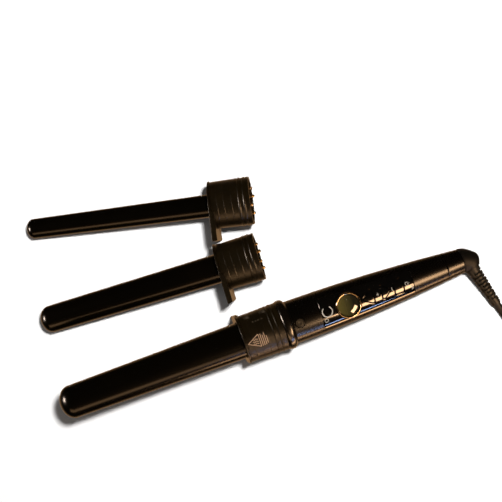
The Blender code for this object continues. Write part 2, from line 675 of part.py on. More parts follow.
# Display: a chrome ring, a domed lens in it, and the LCD module below.
BEZEL_BOTTOM = DISPLAY_TOP - 5.8 * MM
BEZEL = [
    (DISPLAY_TOP, BEZEL_R - 0.9 * MM),
    (DISPLAY_TOP - 0.3 * MM, BEZEL_R - 0.3 * MM),
    (DISPLAY_TOP - 0.9 * MM, BEZEL_R),
    (BEZEL_BOTTOM, BEZEL_R),
    (BEZEL_BOTTOM, BEZEL_INNER_R),
    (DISPLAY_TOP - 0.6 * MM, BEZEL_INNER_R),
]
turned("display_bezel", BEZEL, handle, CHROME, SIDES, True, display_place)
LENS_R = BEZEL_INNER_R - GAP
LENS_BOTTOM, LENS_RIM, LENS_CROWN = DISPLAY_TOP - 2.2 * MM, DISPLAY_TOP - 1.3 * MM, DISPLAY_TOP - 0.5 * MM
LENS_TURN = [
    (LENS_CROWN, 0),
    (LENS_RIM + 0.75 * (LENS_CROWN - LENS_RIM), LENS_R / 2),
    (LENS_RIM, LENS_R),
    (LENS_BOTTOM, LENS_R),
    (LENS_BOTTOM, 0),
]
turned("display_lens", LENS_TURN, handle, LENS, SIDES, True, display_place)
LCD_TOP, LCD_STEP = LENS_BOTTOM - GAP, BEZEL_BOTTOM - 0.4 * MM
LCD_R, LCD_STEM_R = LENS_R - 0.1 * MM, 6 * MM
LCD = [
    (LCD_TOP, 0),
    (LCD_TOP, LCD_R),
    (LCD_STEP, LCD_R),
    (LCD_STEP, LCD_STEM_R),
    (SWITCH_LOW, LCD_STEM_R),
    (SWITCH_LOW, 0),
]
turned("lcd_module", LCD, handle, BLACK_MATTE, SIDES, True, display_place)

# Tail: the collar that clamps the shells, and the rotor that snaps into it.
COLLAR_LIP = 2 * MM
POCKET_END = COLLAR_START + 5.6 * MM
BORE_R = ROTOR_R + 0.5 * MM
POCKET_R = ROTOR_R + 2.6 * MM
COLLAR = [
    (COLLAR_END, TAIL_R),
    (COLLAR_START + COLLAR_LENGTH / 2, handle_radius(COLLAR_START + COLLAR_LENGTH / 2)),
    (COLLAR_START, handle_radius(COLLAR_START)),
    (COLLAR_START, handle_radius(SHELL_END) - SHELL_WALL - 0.4 * MM),
    (COLLAR_START - COLLAR_LIP, handle_radius(SHELL_END) - SHELL_WALL - 0.4 * MM),
    (COLLAR_START - COLLAR_LIP, POCKET_R),
    (POCKET_END, POCKET_R),
    (POCKET_END, BORE_R),
    (COLLAR_END, BORE_R),
]
turned("tail_collar", COLLAR, handle, BLACK_SATIN)
FLANGE_BACK, FLANGE_FRONT = POCKET_END - 1 * MM, POCKET_END - 4 * MM
ROTOR = [
    (COLLAR_END, ROTOR_R),
    (FLANGE_BACK, ROTOR_R),
    (FLANGE_BACK, ROTOR_R + 2 * MM),
    (FLANGE_FRONT, ROTOR_R + 2 * MM),
    (FLANGE_FRONT, ROTOR_R / 2),
    (COLLAR_END, ROTOR_R / 2),
]
turned("swivel_rotor", ROTOR, swivel, BLACK_MATTE, SIDES // 2 * 2)


def cap_ring(turn, sides=24):
    """One section of the elbow: an ellipse in a plane through the pivot line. Its outer side comes in and its
    depth shrinks as the elbow turns, while its inner side stays at the pivot."""
    way = turn / CAP_TURN
    inner = 0.7 * MM
    outer = 2 * CAP_R + inner + (CAP_MOUTH_W - 2 * CAP_R - inner) * way**1.5
    depth = CAP_R + (CAP_MOUTH_DEPTH - CAP_R) * way
    middle, half = (outer + inner) / 2, (outer - inner) / 2
    ring = []
    for k in range(sides):
        angle = math.tau * k / sides
        out = middle + half * math.cos(angle)
        along = CAP_START + 0.5 * MM + out * math.sin(turn)
        ring.append((along, out * math.cos(turn) - CAP_PIVOT, depth * math.sin(angle)))
    return ring


# Swivel cap: the elbow that turns the lead away to the side, with a pocket for the strain relief.
cap_rings = [cap_ring(CAP_TURN * k / 8) for k in range(9)]
start_ring = [(CAP_START, y, z) for _, y, z in cap_rings[0]]
cap = lofted("swivel_cap", [start_ring, *cap_rings], swivel, BLACK_MATTE)
mouth = Vector(np.mean(cap_rings[-1], axis=0))
relief_frame = place("relief_frame", Matrix.Translation(mouth) @ Matrix.Rotation(-CAP_TURN, 4, "Z"), swivel)
cut(cap, rod("relief_pocket", RELIEF_ROOT_R + 0.4 * MM, -RELIEF_SEAT - GAP, 5 * MM, relief_frame, None, 16))


def relief_profile():
    """The strain relief: a taper from the cap to the lead, with ring slots that let it bend."""

    def radius(x):
        return RELIEF_ROOT_R + (RELIEF_TIP_R - RELIEF_ROOT_R) * max(0.0, x) / RELIEF_LENGTH

    slots = []
    for k in range(RELIEF_SLOTS):
        slots.append(7.5 * MM + k * RELIEF_PITCH)
    outside = [(RELIEF_LENGTH, radius(RELIEF_LENGTH))]
    for x in reversed(slots):
        near, far = x - 0.6 * MM, x + 0.6 * MM
        outside += [(far, radius(far)), (far, radius(far) - 1.4 * MM), (near, radius(near) - 1.4 * MM)]
        outside.append((near, radius(near)))
    return [(RELIEF_LENGTH, 0), *outside, (-RELIEF_SEAT, RELIEF_ROOT_R), (-RELIEF_SEAT, 0)]


turned("strain_relief", relief_profile(), relief_frame, RUBBER, 16)


def smooth(route, spacing):
    """Points about spacing apart on a smooth curve (a Catmull-Rom spline) through the route's points."""
    points = np.array(route, float)
    padded = np.vstack([2 * points[0] - points[1], points, 2 * points[-1] - points[-2]])
    line = []
    for i in range(1, len(padded) - 2):
        before, start, end, after = padded[i - 1 : i + 3]
        for t in np.linspace(0, 1, max(1, round(np.linalg.norm(end - start) / spacing)), endpoint=False):
            line.append(
                start
                + 0.5 * t * (end - before)
                + t * t * (before - 2.5 * start + 2 * end - 0.5 * after)
                + t**3 * (1.5 * (start - end) + 0.5 * (after - before))
            )
    return [*line, points[-1]]


def lead(name, route):
    """A stretch of the round mains lead."""
    line = smooth(route, 5 * CORD_R)
    curve = bpy.data.curves.new(name, "CURVE")
    curve.dimensions = "3D"
    curve.bevel_depth = CORD_R
    curve.bevel_resolution = 2
    curve.use_fill_caps = True
    spline = curve.splines.new("POLY")
    spline.points.add(len(line) - 1)
    for point, where in zip(spline.points, line):
        point.co = (*where, 1)
    return put(name, curve, cord, RUBBER)


# Mains lead: from the strain relief to a flat two-layer coil, and on to the plug.
lead("cord_lead", LEAD_ROUTE)
lead("cord_tail", TAIL_ROUTE)
coil_top = COIL_LIFT + 4 * CORD_R
COIL = [
    (coil_top, COIL_OUT_R + CORD_R),
    (COIL_LIFT, COIL_OUT_R + CORD_R),
    (COIL_LIFT, COIL_IN_R - CORD_R),
    (coil_top, COIL_IN_R - CORD_R),
]
coil_place = (*COIL_CENTRE, 0)
turned("cord_coil", COIL, cord, RUBBER, 48, True, coil_place)

# Coil tie: a flat band round all the turns at one place.
TIE_HALF_WIDE = 4 * MM
TIE_THICK = 0.6 * MM
TIE_TURN = math.radians(-60)
tie_frame = place("tie_frame", Matrix.Translation(coil_place) @ Matrix.Rotation(TIE_TURN, 4, "Z"), cord)
tie_in, tie_out = COIL_IN_R - CORD_R - 2 * GAP, COIL_OUT_R + CORD_R + GAP
tie_low, tie_high = COIL_LIFT - GAP, coil_top + GAP
tie = block(
    "coil_tie",
    (tie_in - TIE_THICK, -TIE_HALF_WIDE, tie_low - TIE_THICK),
    (tie_out + TIE_THICK, TIE_HALF_WIDE, tie_high + TIE_THICK),
    tie_frame,
    RUBBER,
)
through_tie = block(
    "tie_window",
    (tie_in, -2 * TIE_HALF_WIDE, tie_low),
    (tie_out, 2 * TIE_HALF_WIDE, tie_high),
    tie_frame,
    None,
)
cut(tie, through_tie)

# Plug: a moulded grip that widens to the face that holds two flat blades.
PLUG_SECTIONS = ((0.0, 4.3, 4.3), (0.16, 4.6, 4.6), (0.36, 8.0, 6.6), (0.62, 12.0, 8.0), (1.0, 12.6, 8.6))
plug_line = Vector(TAIL_ROUTE[-1]) - Vector(TAIL_ROUTE[-2])
plug_turn = math.atan2(plug_line.y, plug_line.x)
plug_at = Vector(TAIL_ROUTE[-1]) + Vector((math.cos(plug_turn), math.sin(plug_turn), 0)) * GAP
plug = place("plug_frame", Matrix.Translation(plug_at) @ Matrix.Rotation(plug_turn, 4, "Z"), cord)


def plug_ring(way, half_wide, half_high, sides=20):
    """One rounded-square section of the plug."""
    ring = []
    for k in range(sides):
        angle = math.tau * k / sides
        c, s = math.cos(angle), math.sin(angle)
        y = half_wide * MM * math.copysign(abs(c) ** 0.7, c)
        z = half_high * MM * math.copysign(abs(s) ** 0.7, s)
        ring.append((way * PLUG_LENGTH, y, z))
    return ring


lofted("plug_body", [plug_ring(*section) for section in PLUG_SECTIONS], plug, RUBBER)
BLADE_START = PLUG_LENGTH + GAP
for side, letter in ((1, "a"), (-1, "b")):
    across = side * 6.35 * MM
    block(
        "plug_blade_" + letter,
        (BLADE_START, across - 0.75 * MM, -3.2 * MM),
        (BLADE_START + BLADE_LENGTH, across + 0.75 * MM, 3.2 * MM),
        plug,
        PIN_METAL,
    )
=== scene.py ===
"""A curling wand with three barrels: the large one on the handle, and two spare ones lying beside it."""

import json
import math

import bmesh
import bpy
import numpy as np
from mathutils import Matrix, Vector


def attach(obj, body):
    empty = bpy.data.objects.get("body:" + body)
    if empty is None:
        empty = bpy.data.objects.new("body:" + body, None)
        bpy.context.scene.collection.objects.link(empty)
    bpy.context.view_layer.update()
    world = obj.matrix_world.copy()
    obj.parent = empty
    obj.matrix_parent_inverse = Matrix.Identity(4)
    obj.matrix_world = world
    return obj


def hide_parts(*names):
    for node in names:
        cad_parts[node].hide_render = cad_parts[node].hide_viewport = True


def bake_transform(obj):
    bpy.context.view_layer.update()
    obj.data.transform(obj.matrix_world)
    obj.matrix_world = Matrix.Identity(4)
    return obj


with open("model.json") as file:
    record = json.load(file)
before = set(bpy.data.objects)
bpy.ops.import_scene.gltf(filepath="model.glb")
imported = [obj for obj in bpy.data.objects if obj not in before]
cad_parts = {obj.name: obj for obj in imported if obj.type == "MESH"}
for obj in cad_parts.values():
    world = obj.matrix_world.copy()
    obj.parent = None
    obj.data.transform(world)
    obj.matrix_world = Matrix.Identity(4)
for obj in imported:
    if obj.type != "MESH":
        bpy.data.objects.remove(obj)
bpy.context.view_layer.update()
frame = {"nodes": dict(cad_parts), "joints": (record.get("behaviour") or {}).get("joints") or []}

# Table, lights and camera. A plain white table, and lights above it. Warm and cool lamps on the near side show
# only as reflections, and draw the golden bands and the thin blue line along the handle.
table_mesh = bpy.data.meshes.new("table")
half_table, table_height = 4.0, -0.0003
table_corners = [(x * half_table, y * half_table, table_height) for x, y in ((-1, -1), (1, -1), (1, 1), (-1, 1))]
table_mesh.from_pydata(table_corners, [], [(0, 1, 2, 3)])
table = bpy.data.objects.new("table", table_mesh)
bpy.context.scene.collection.objects.link(table)
table.visible_glossy = False
table_paint = bpy.data.materials.new("white_table")
table_paint.use_nodes = True
table_shader = table_paint.node_tree.nodes["Principled BSDF"]
table_shader.inputs["Base Color"].default_value = (0.86, 0.86, 0.86, 1)
table_shader.inputs["Roughness"].default_value = 0.9
table_mesh.materials.append(table_paint)

room = bpy.data.worlds.new("room")
room.use_nodes = True
room_tree = room.node_tree
room_light = room_tree.nodes["Background"]
seen_directly = room_tree.nodes.new("ShaderNodeLightPath")
room_way = room_tree.nodes.new("ShaderNodeTexCoord")
room_axes = room_tree.nodes.new("ShaderNodeSeparateXYZ")
room_ramp = room_tree.nodes.new("ShaderNodeValToRGB")
room_height = room_tree.nodes.new("ShaderNodeMapRange")
room_height.inputs["From Min"].default_value = -1.0
room_ramp.color_ramp.elements[0].color = (0.85, 0.48, 0.22, 1)
room_ramp.color_ramp.elements[1].color = (0.006, 0.0045, 0.003, 1)
room_ramp.color_ramp.elements[1].position = 0.22
room_shade = room_tree.nodes.new("ShaderNodeMix")
room_shade.data_type = "RGBA"
room_shade.inputs[7].default_value = (0.93, 0.93, 0.93, 1)
room_tree.links.new(room_way.outputs["Generated"], room_axes.inputs["Vector"])
room_tree.links.new(room_axes.outputs["Z"], room_height.inputs["Value"])
room_tree.links.new(room_height.outputs["Result"], room_ramp.inputs["Fac"])
room_tree.links.new(room_ramp.outputs["Color"], room_shade.inputs[6])
room_tree.links.new(seen_directly.outputs["Is Camera Ray"], room_shade.inputs[0])
room_tree.links.new(room_shade.outputs[2], room_light.inputs["Color"])
bpy.context.scene.world = room
bpy.context.scene.view_settings.view_transform = "Standard"

camera_roll = 0.0169
level_right, level_up = Vector((0.9367, -0.3502, 0)), Vector((0.3502, 0.9367, 0))
image_right = math.cos(camera_roll) * level_right + math.sin(camera_roll) * level_up
image_up = math.cos(camera_roll) * level_up - math.sin(camera_roll) * level_right
table_middle = Vector((0.0341, 0.0696, 0.02))


def softbox(name, place, aim, wide, high, watts, colour, glossy):
    """A soft rectangular light at a place, aimed at a point. A glossy one shows only as a reflection, and any other
    only lights."""
    lamp = bpy.data.lights.new(name, "AREA")
    lamp.shape = "RECTANGLE"
    lamp.size, lamp.size_y = wide, high
    lamp.energy = watts
    lamp.color = colour
    held = bpy.data.objects.new(name, lamp)
    held.rotation_euler = (place - aim).to_track_quat("Z", "Y").to_euler()
    held.location = place
    held.visible_glossy, held.visible_diffuse = glossy, not glossy
    held.visible_camera = False
    bpy.context.scene.collection.objects.link(held)


def from_middle(right, up, height):
    """A place on the right of, above and over the table's middle, as the camera sees it."""
    return table_middle + right * image_right + up * image_up + Vector((0, 0, height))


softbox("overhead", from_middle(0.24, 0.30, 1.5), table_middle, 0.16, 0.16, 34, (1.0, 0.99, 0.98), False)
softbox("even_fill", from_middle(0, 0, 2.5), table_middle, 3.0, 3.0, 8, (1.0, 1.0, 1.0), False)
softbox("warm_window", Vector((0.74, -0.80, 0.92)), table_middle, 0.66, 0.38, 19.0, (1.0, 0.60, 0.31), True)
softbox("warm_floor", Vector((0.34, -1.02, -0.16)), table_middle, 0.80, 0.16, 4.5, (1.0, 0.55, 0.26), True)
softbox("warm_wall", Vector((-0.35, -0.92, 0.46)), table_middle, 1.1, 0.36, 3.4, (1.0, 0.58, 0.28), True)
softbox("cool_window", Vector((0.30, -1.18, 0.22)), table_middle, 0.36, 0.05, 1.5, (0.40, 0.56, 1.0), True)
softbox("tip_light", from_middle(-1.25, -0.12, 0.22), table_middle, 0.36, 0.36, 18.0, (1.0, 0.80, 0.66), True)

camera = bpy.data.cameras.new("camera")
camera.sensor_width = 36.0
camera.lens = 85.33
seen_from = bpy.data.objects.new("camera", camera)
camera_height = 1.034
seen_from.matrix_world = Matrix.Translation(table_middle + Vector((0, 0, camera_height))) @ Matrix(
    (
        (image_right.x, image_up.x, 0, 0),
        (image_right.y, image_up.y, 0, 0),
        (0, 0, 1, 0),
        (0, 0, 0, 1),
    )
)
bpy.context.scene.collection.objects.link(seen_from)
bpy.context.scene.camera = seen_from

# Mains lead. A round two-core cord in black PVC, 6.2 mm thick: it leaves the strain relief, comes down to the
# table, and lies in a flat round coil of two layers before it ends in its plug.
MM = 0.001
lead_radius = 3.1 * MM
relief_tip = np.array((222.81, -46.55, 4.97)) * MM
lead_heading = np.array((0.271, -0.9562, -0.1109))
coil_middle = np.array((281.5, -71.5)) * MM
coil_outer, coil_inner = 49.7 * MM, 24.9 * MM
lower_turns, climb_turns, upper_turns = 4.0, 0.25, 3.25
lower_height, upper_height = 4.0 * MM, 10.2 * MM
coil_start = math.radians(195.8)


def spiral(first_angle, turns, first_radius, last_radius, first_height, last_height, steps):
    """Points on a flat spiral: the angle and the radius both grow evenly with the step, and the height eases."""
    way = np.linspace(0, 1, steps, endpoint=False)
    angle = first_angle + math.tau * turns * way
    radius = first_radius + (last_radius - first_radius) * way
    height = first_height + (last_height - first_height) * way * way * (3 - 2 * way)
    across = coil_middle + radius[:, None] * np.stack([np.cos(angle), np.sin(angle)], -1)
    return np.column_stack([across, height])


def evened(route, spacing):
    """The same route with its points an even distance apart, by running along its summed lengths."""
    run = np.concatenate([[0], np.cumsum(np.linalg.norm(np.diff(route, axis=0), axis=1))])
    places = np.linspace(0, run[-1], int(run[-1] / spacing) + 1)
    return np.column_stack([np.interp(places, run, route[:, k]) for k in range(3)])


def settled(route, window):
    """A route with its kinks taken out: each point is the mean of its neighbours, and the ends stay."""
    padded = np.vstack(
        [
            2 * route[0] - route[window:0:-1],
            route,
            2 * route[-1] - route[-2 : -window - 2 : -1],
        ]
    )
    share = np.ones(2 * window + 1) / (2 * window + 1)
    return np.column_stack([np.convolve(padded[:, k], share, "valid") for k in range(3)])


first_turn = spiral(coil_start, lower_turns, coil_outer, coil_inner, lower_height, lower_height, 160)
climb_start = coil_start + math.tau * lower_turns
climb = spiral(climb_start, climb_turns, coil_inner, coil_inner, lower_height, upper_height, 12)
top_start = climb_start + math.tau * climb_turns
top_outer = 45.05 * MM
last_turn = spiral(top_start, upper_turns, coil_inner, top_outer, upper_height, upper_height, 130)
lead_in = np.array([(224.7, -53.2, 4.2), (226.5, -59.5, 3.7), (229.2, -69.0, 3.4), (231.9, -78.6, 3.6)]) * MM
lead_out = np.array([(318.6, -36.5, 10.2), (315.7, -26.0, 10.1), (312.6, -15.5, 9.7), (309.7, -5.0, 9.2)]) * MM
inside_relief = relief_tip - 3 * MM * lead_heading
route = np.vstack([inside_relief, relief_tip, lead_in, first_turn, climb, last_turn, lead_out])
route = settled(evened(route, 1.0 * MM), 5)
route = evened(route, 3.2 * MM)


def skin(name, points, rows_meet=False, columns_meet=True, ends=True, outward=None):
    """A mesh over a grid of points (rows, columns, 3): each square of the grid is a face. Rows or columns that meet
    join the last to the first, and open ends get one flat face each. The faces turn outwards by the sign of the
    volume that they enclose, or towards a given direction on an open sheet."""
    rows, columns = points.shape[:2]
    index = np.arange(rows * columns).reshape(rows, columns)
    if columns_meet:
        index = np.hstack([index, index[:, :1]])
    if rows_meet:
        index = np.vstack([index, index[:1]])
    squares = np.stack([index[:-1, :-1], index[1:, :-1], index[1:, 1:], index[:-1, 1:]], -1).reshape(-1, 4)
    place = points.reshape(-1, 3)
    a, b, c, d = (place[squares[:, k]] for k in range(4))
    lean = np.cross(c - a, d - b)
    towards = (a + b + c + d) / 4 - place.mean(0) if outward is None else np.broadcast_to(outward, a.shape)
    faces = squares.tolist()
    if ends and columns_meet and not rows_meet:
        faces += [index[0, :-1].tolist(), index[-1, :-1][::-1].tolist()]
    if (lean * towards).sum() < 0:
        faces = [face[::-1] for face in faces]
    made = bpy.data.meshes.new(name)
    made.from_pydata(place.tolist(), [], faces)
    made.shade_smooth()
    made.set_sharp_from_angle(angle=math.radians(38))
    made.update()
    return made


def hose(line, radius, sides):
    """A round tube along a line: at each point a ring stands square to the line, one way level and one way up."""
    heading = np.gradient(line, axis=0)
    heading /= np.linalg.norm(heading, axis=1)[:, None]
    level = np.cross((0, 0, 1.0), heading)
    level /= np.linalg.norm(level, axis=1)[:, None]
    up = np.cross(heading, level)
    around = np.linspace(0, math.tau, sides, endpoint=False)
    ring = level[:, None] * np.cos(around)[:, None] + up[:, None] * np.sin(around)[:, None]
    return line[:, None] + radius * ring


def moulded(
    name, dark, light, roughness, grain, bump, clouds=40.0, roughness_spread=0.08, metallic=0.0, coat=0.0, shine=0.5
):
    """A moulded finish: two near colours in slow clouds, and a fine grain in the gloss and in the surface."""
    finish = bpy.data.materials.new(name)
    finish.use_nodes = True
    tree = finish.node_tree
    shader = tree.nodes["Principled BSDF"]
    shader.inputs["Metallic"].default_value = metallic
    shader.inputs["Specular IOR Level"].default_value = shine
    shader.inputs["Coat Weight"].default_value = coat
    shader.inputs["Coat Roughness"].default_value = 0.08
    where = tree.nodes.new("ShaderNodeTexCoord")
    cloud = tree.nodes.new("ShaderNodeTexNoise")
    cloud.inputs["Scale"].default_value = clouds
    cloud.inputs["Detail"].default_value = 4.0
    fine = tree.nodes.new("ShaderNodeTexNoise")
    fine.inputs["Scale"].default_value = grain
    fine.inputs["Detail"].default_value = 2.0
    tint = tree.nodes.new("ShaderNodeMix")
    tint.data_type = "RGBA"
    tint.inputs[6].default_value = (*dark, 1)
    tint.inputs[7].default_value = (*light, 1)
    gloss = tree.nodes.new("ShaderNodeMapRange")
    gloss.inputs["To Min"].default_value = roughness - roughness_spread
    gloss.inputs["To Max"].default_value = roughness + roughness_spread
    relief = tree.nodes.new("ShaderNodeBump")
    relief.inputs["Strength"].default_value = bump
    relief.inputs["Distance"].default_value = 0.0003
    for noise in (cloud, fine):
        tree.links.new(where.outputs["Object"], noise.inputs["Vector"])
    tree.links.new(cloud.outputs["Fac"], tint.inputs[0])
    tree.links.new(tint.outputs[2], shader.inputs["Base Color"])
    tree.links.new(fine.outputs["Fac"], gloss.inputs["Value"])
    tree.links.new(gloss.outputs["Result"], shader.inputs["Roughness"])
    tree.links.new(fine.outputs["Fac"], relief.inputs["Height"])
    tree.links.new(relief.outputs["Normal"], shader.inputs["Normal"])
    return finish


def piece(name, mesh, finish):
    """An object at the origin with its place in its mesh, in one finish."""
    made = bpy.data.objects.new(name, mesh)
    mesh.materials.append(finish)
    bpy.context.scene.collection.objects.link(made)
    return made


cord_pvc = moulded("cord_pvc", (0.006, 0.005, 0.0045), (0.014, 0.011, 0.009), 0.46, 1400.0, 0.2)
cord = piece("mains_cord", skin("mains_cord", hose(route, lead_radius, 14)), cord_pvc)
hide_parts("cord_lead", "cord_coil", "cord_tail")
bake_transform(cord)

# Cord tie. A hook-and-loop strap of black nylon, wrapped once round all the turns and pressed shut.
strap_nylon = moulded("strap_nylon", (0.010, 0.010, 0.011), (0.030, 0.028, 0.026), 0.85, 2600.0, 0.9)


def dress(finish, *nodes):
    """A CAD piece that keeps its own shape gets its finish."""
    for node in nodes:
        mesh = frame["nodes"][node].data
        mesh.materials.clear()
        mesh.materials.append(finish)


dress(strap_nylon, "coil_tie")

# Plug. Moulded in one with the cord: a slim neck, finger ribs where it widens, and a flat face with two flat
# brass blades.
plug_length = 38 * MM
plug_start = np.array((0.3097, -0.0050, 0.0092))
plug_heading = math.atan2(0.0105, -0.0029)
plug_gap = 0.3 * MM
grip_places = np.array((0.0, 0.16, 0.36, 0.62, 1.0))
grip_wide = np.array((4.3, 4.6, 8.0, 12.0, 12.6)) * MM
grip_high = np.array((4.3, 4.6, 6.6, 8.0, 8.6)) * MM
rib_count, rib_depth = 5, 0.5 * MM


def plug_grip():
    """Rounded-square rings along the plug: half width and half height run smoothly through the given places, and
    shallow grooves cross the narrow part. The last rings draw in to round the face's edge."""
    way = np.concatenate([np.linspace(0, 0.985, 70), [0.995, 1.0]])
    draw_in = np.where(way > 0.99, 1 - (way - 0.985) * 3, 1.0)
    ribs = (way > 0.22) & (way < 0.58)
    groove = np.where(ribs, rib_depth * (0.5 - 0.5 * np.cos(math.tau * rib_count * (way - 0.22) / 0.36)), 0)
    wide = (np.interp(way, grip_places, grip_wide) - groove) * draw_in
    high = (np.interp(way, grip_places, grip_high) - groove) * draw_in
    around = np.linspace(0, math.tau, 48, endpoint=False)
    c, s = np.cos(around), np.sin(around)
    across = wide[:, None] * np.sign(c) * np.abs(c) ** 0.7
    up = high[:, None] * np.sign(s) * np.abs(s) ** 0.7
    along = plug_gap + way[:, None] * plug_length + 0 * across
    turn_c, turn_s = math.cos(plug_heading), math.sin(plug_heading)
    x = plug_start[0] + along * turn_c - across * turn_s
    y = plug_start[1] + along * turn_s + across * turn_c
    return np.stack([x, y, plug_start[2] + up], -1)


plug = piece("plug", skin("plug", plug_grip()), cord_pvc)
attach(plug, "handle")
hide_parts("plug_body")
pin_brass = moulded("pin_brass", (0.62, 0.42, 0.20), (0.78, 0.58, 0.32), 0.28, 900.0, 0.1, metallic=1.0)
dress(pin_brass, "plug_blade_a", "plug_blade_b")

# Socket block. A black nylon block fixed in the nose of the handle: the barrel's four pins push into its contacts,
# and the release button stands on a steel spring in its pocket.
nylon = moulded("black_nylon", (0.006, 0.005, 0.004), (0.014, 0.011, 0.008), 0.55, 1600.0, 0.3)
spring_steel = moulded("spring_steel", (0.42, 0.41, 0.40), (0.56, 0.55, 0.53), 0.3, 800.0, 0.1, metallic=1.0)
dress(nylon, "socket_block")
dress(spring_steel, "release_spring")

# Handle shells. Two halves of satin black ABS meet along the sides, taper towards the tail in one smooth curve,
# and are held by two screws from below. The upper half has a recess for the panel and a hole for the button.
swivel_joint = [joint for joint in frame["joints"] if joint["name"] == "cord_swivel"][0]
cap_start = 204.5 * MM
wand_along = -np.array(swivel_joint["axis"], float)
wand_up = np.cross(wand_along, (0.0, 1.0, 0.0))
wand_axes = np.stack([wand_along, (0.0, 1.0, 0.0), wand_up])
wand_at = np.array(swivel_joint["pos_m"], float) - cap_start * wand_along


def rolled(degrees):
    """The wand's axes after a roll about its own length, one axis to a row."""
    angle = math.radians(degrees)
    level, up = wand_axes[1], wand_axes[2]
    return np.stack(
        [wand_axes[0], math.cos(angle) * level + math.sin(angle) * up, math.cos(angle) * up - math.sin(angle) * level]
    )


def placed(points, axes, origin):
    """Points given along three axes from an origin, in the row frame."""
    return points @ axes + origin


handle_axes = rolled(6.0)
shell_start, shell_end, collar_end = 44.9 * MM, 188.1 * MM, 204.2 * MM
nose_radius, tail_radius, taper_power = 18.75 * MM, 10.6 * MM, 1.9
shell_wall, seam_angle = 2.2 * MM, math.radians(0.5)
release_x, release_radius = 50.5 * MM, 3.85 * MM
panel_low, panel_high, panel_half_arc = 70.3 * MM, 155.3 * MM, math.radians(45)
display_x, bezel_radius = 95.2 * MM, 11.3 * MM
screw_places = (64.6 * MM, 174.6 * MM)


def handle_radius(x):
    """The handle's outer radius: it falls from the nose to the tail by a power of the way along."""
    way = np.clip((x - shell_start) / (collar_end - shell_start), 0, None)
    return nose_radius - (nose_radius - tail_radius) * way**taper_power


def inside(distance, edge, soft):
    """1 inside an edge and 0 outside it, with a straight ramp this wide between."""
    return np.clip((edge - distance) / soft + 0.5, 0, 1)


def around_wand(x, angle, radius):
    """Points by their place along the wand, their angle from the top and their radius, as x, y, z."""
    return np.stack([x + 0 * angle, radius * np.sin(angle), radius * np.cos(angle)], -1)


def half_wall(x, angles, sunk):
    """One half of the handle's wall. Its outer side is the handle's radius less what is sunk at each point, and its
    inner side follows a wall's thickness below; a row runs out along one and back along the other."""
    x, angle = x[:, None], angles[None, :]
    deep = sunk(x, angle)
    outer = around_wand(x, angle, handle_radius(x) - deep)
    inner = around_wand(x, angle, np.maximum(handle_radius(x) - deep - shell_wall, 2 * MM))
    return np.concatenate([outer, inner[:, ::-1]], 1)


def seam_ease(x):
    """How far the shells' tail edge is eased where it meets the collar: a short fall that ends at the joint."""
    return 0.55 * MM * inside(shell_end - x, 0.1 * MM, 0.45 * MM)


def upper_sunk(x, angle):
    """How deep the upper half is sunk: the release button's hole, the panel's recess and the display's hole."""
    across = handle_radius(x) * np.sin(angle)
    release = 4.5 * MM * inside(np.hypot(x - release_x, across), release_radius + 0.35 * MM, 0.4 * MM)
    along_panel = np.maximum(panel_low - x, x - panel_high)
    round_panel = (np.abs(angle) - panel_half_arc) * handle_radius(x)
    recess = 1.1 * MM * inside(np.maximum(along_panel, round_panel), 0.25 * MM, 0.35 * MM)
    display = 6.0 * MM * inside(np.hypot(x - display_x, across), bezel_radius, 1.0 * MM)
    keys = 4.0 * MM * inside(np.hypot((x - 127 * MM) / 2.6, across), 7.6 * MM, 1.0 * MM)
    return np.maximum(np.maximum(release, recess), np.maximum(display, keys)) + seam_ease(x)


def lower_sunk(x, angle):
    """How deep the lower half is sunk: a deep counterbore for each screw."""
    across = handle_radius(x) * np.sin(angle)
    deep = seam_ease(x) + 0 * angle
    for place in screw_places:
        depth = handle_radius(np.array(place)) - 8.6 * MM
        deep = np.maximum(deep, depth * inside(np.hypot(x - place, across), 3.0 * MM, 0.4 * MM))
    return deep


quarter = math.pi / 2 - seam_angle
panel_edge = panel_half_arc + 0.025
upper_rows = np.unique(
    np.concatenate(
        [
            [shell_start, shell_start + 0.15 * MM],
            np.linspace(shell_start + 0.4 * MM, 56 * MM, 46),
            np.linspace(56.5 * MM, 69.5 * MM, 14),
            panel_low + np.linspace(-0.6, 0.4, 11) * MM,
            np.linspace(71 * MM, 154.6 * MM, 130),
            panel_high + np.linspace(-0.4, 0.6, 11) * MM,
            np.linspace(156.2 * MM, shell_end - 1.0 * MM, 34),
            shell_end - np.linspace(0.8, 0, 6) * MM,
        ]
    )
)
upper_angles = np.concatenate(
    [
        np.linspace(-quarter, -panel_edge, 26),
        np.linspace(-panel_edge + 0.006, -panel_edge + 0.06, 10),
        np.linspace(-0.72, 0.72, 101),
        np.linspace(panel_edge - 0.06, panel_edge - 0.006, 10),
        np.linspace(panel_edge, quarter, 26),
    ]
)
lower_rows = np.unique(
    np.concatenate(
        [np.linspace(shell_start, shell_end - 1.0 * MM, 90), shell_end - np.linspace(0.8, 0, 6) * MM]
        + [place + np.linspace(-4, 4, 33) * MM for place in screw_places]
    )
)
lower_angles = math.pi + np.concatenate(
    [np.linspace(-quarter, -0.26, 30), np.linspace(-0.25, 0.25, 35), np.linspace(0.26, quarter, 30)]
)
shell_abs = moulded(
    "satin_black_abs", (0.0003, 0.0002, 0.0001), (0.0012, 0.0008, 0.0004), 0.27, 1500.0, 0.04, clouds=60.0,
    roughness_spread=0.05,
)
upper_points = placed(half_wall(upper_rows, upper_angles, upper_sunk), handle_axes, wand_at)
lower_points = placed(half_wall(lower_rows, lower_angles, lower_sunk), handle_axes, wand_at)
upper_shell = piece("upper_shell", skin("upper_shell", upper_points), shell_abs)
lower_shell = piece("lower_shell", skin("lower_shell", lower_points), shell_abs)
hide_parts("handle_upper_shell")
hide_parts("handle_lower_shell")
for half in (upper_shell, lower_shell):
    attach(half, "handle")
dress(spring_steel, "shell_screw_front", "shell_screw_rear")

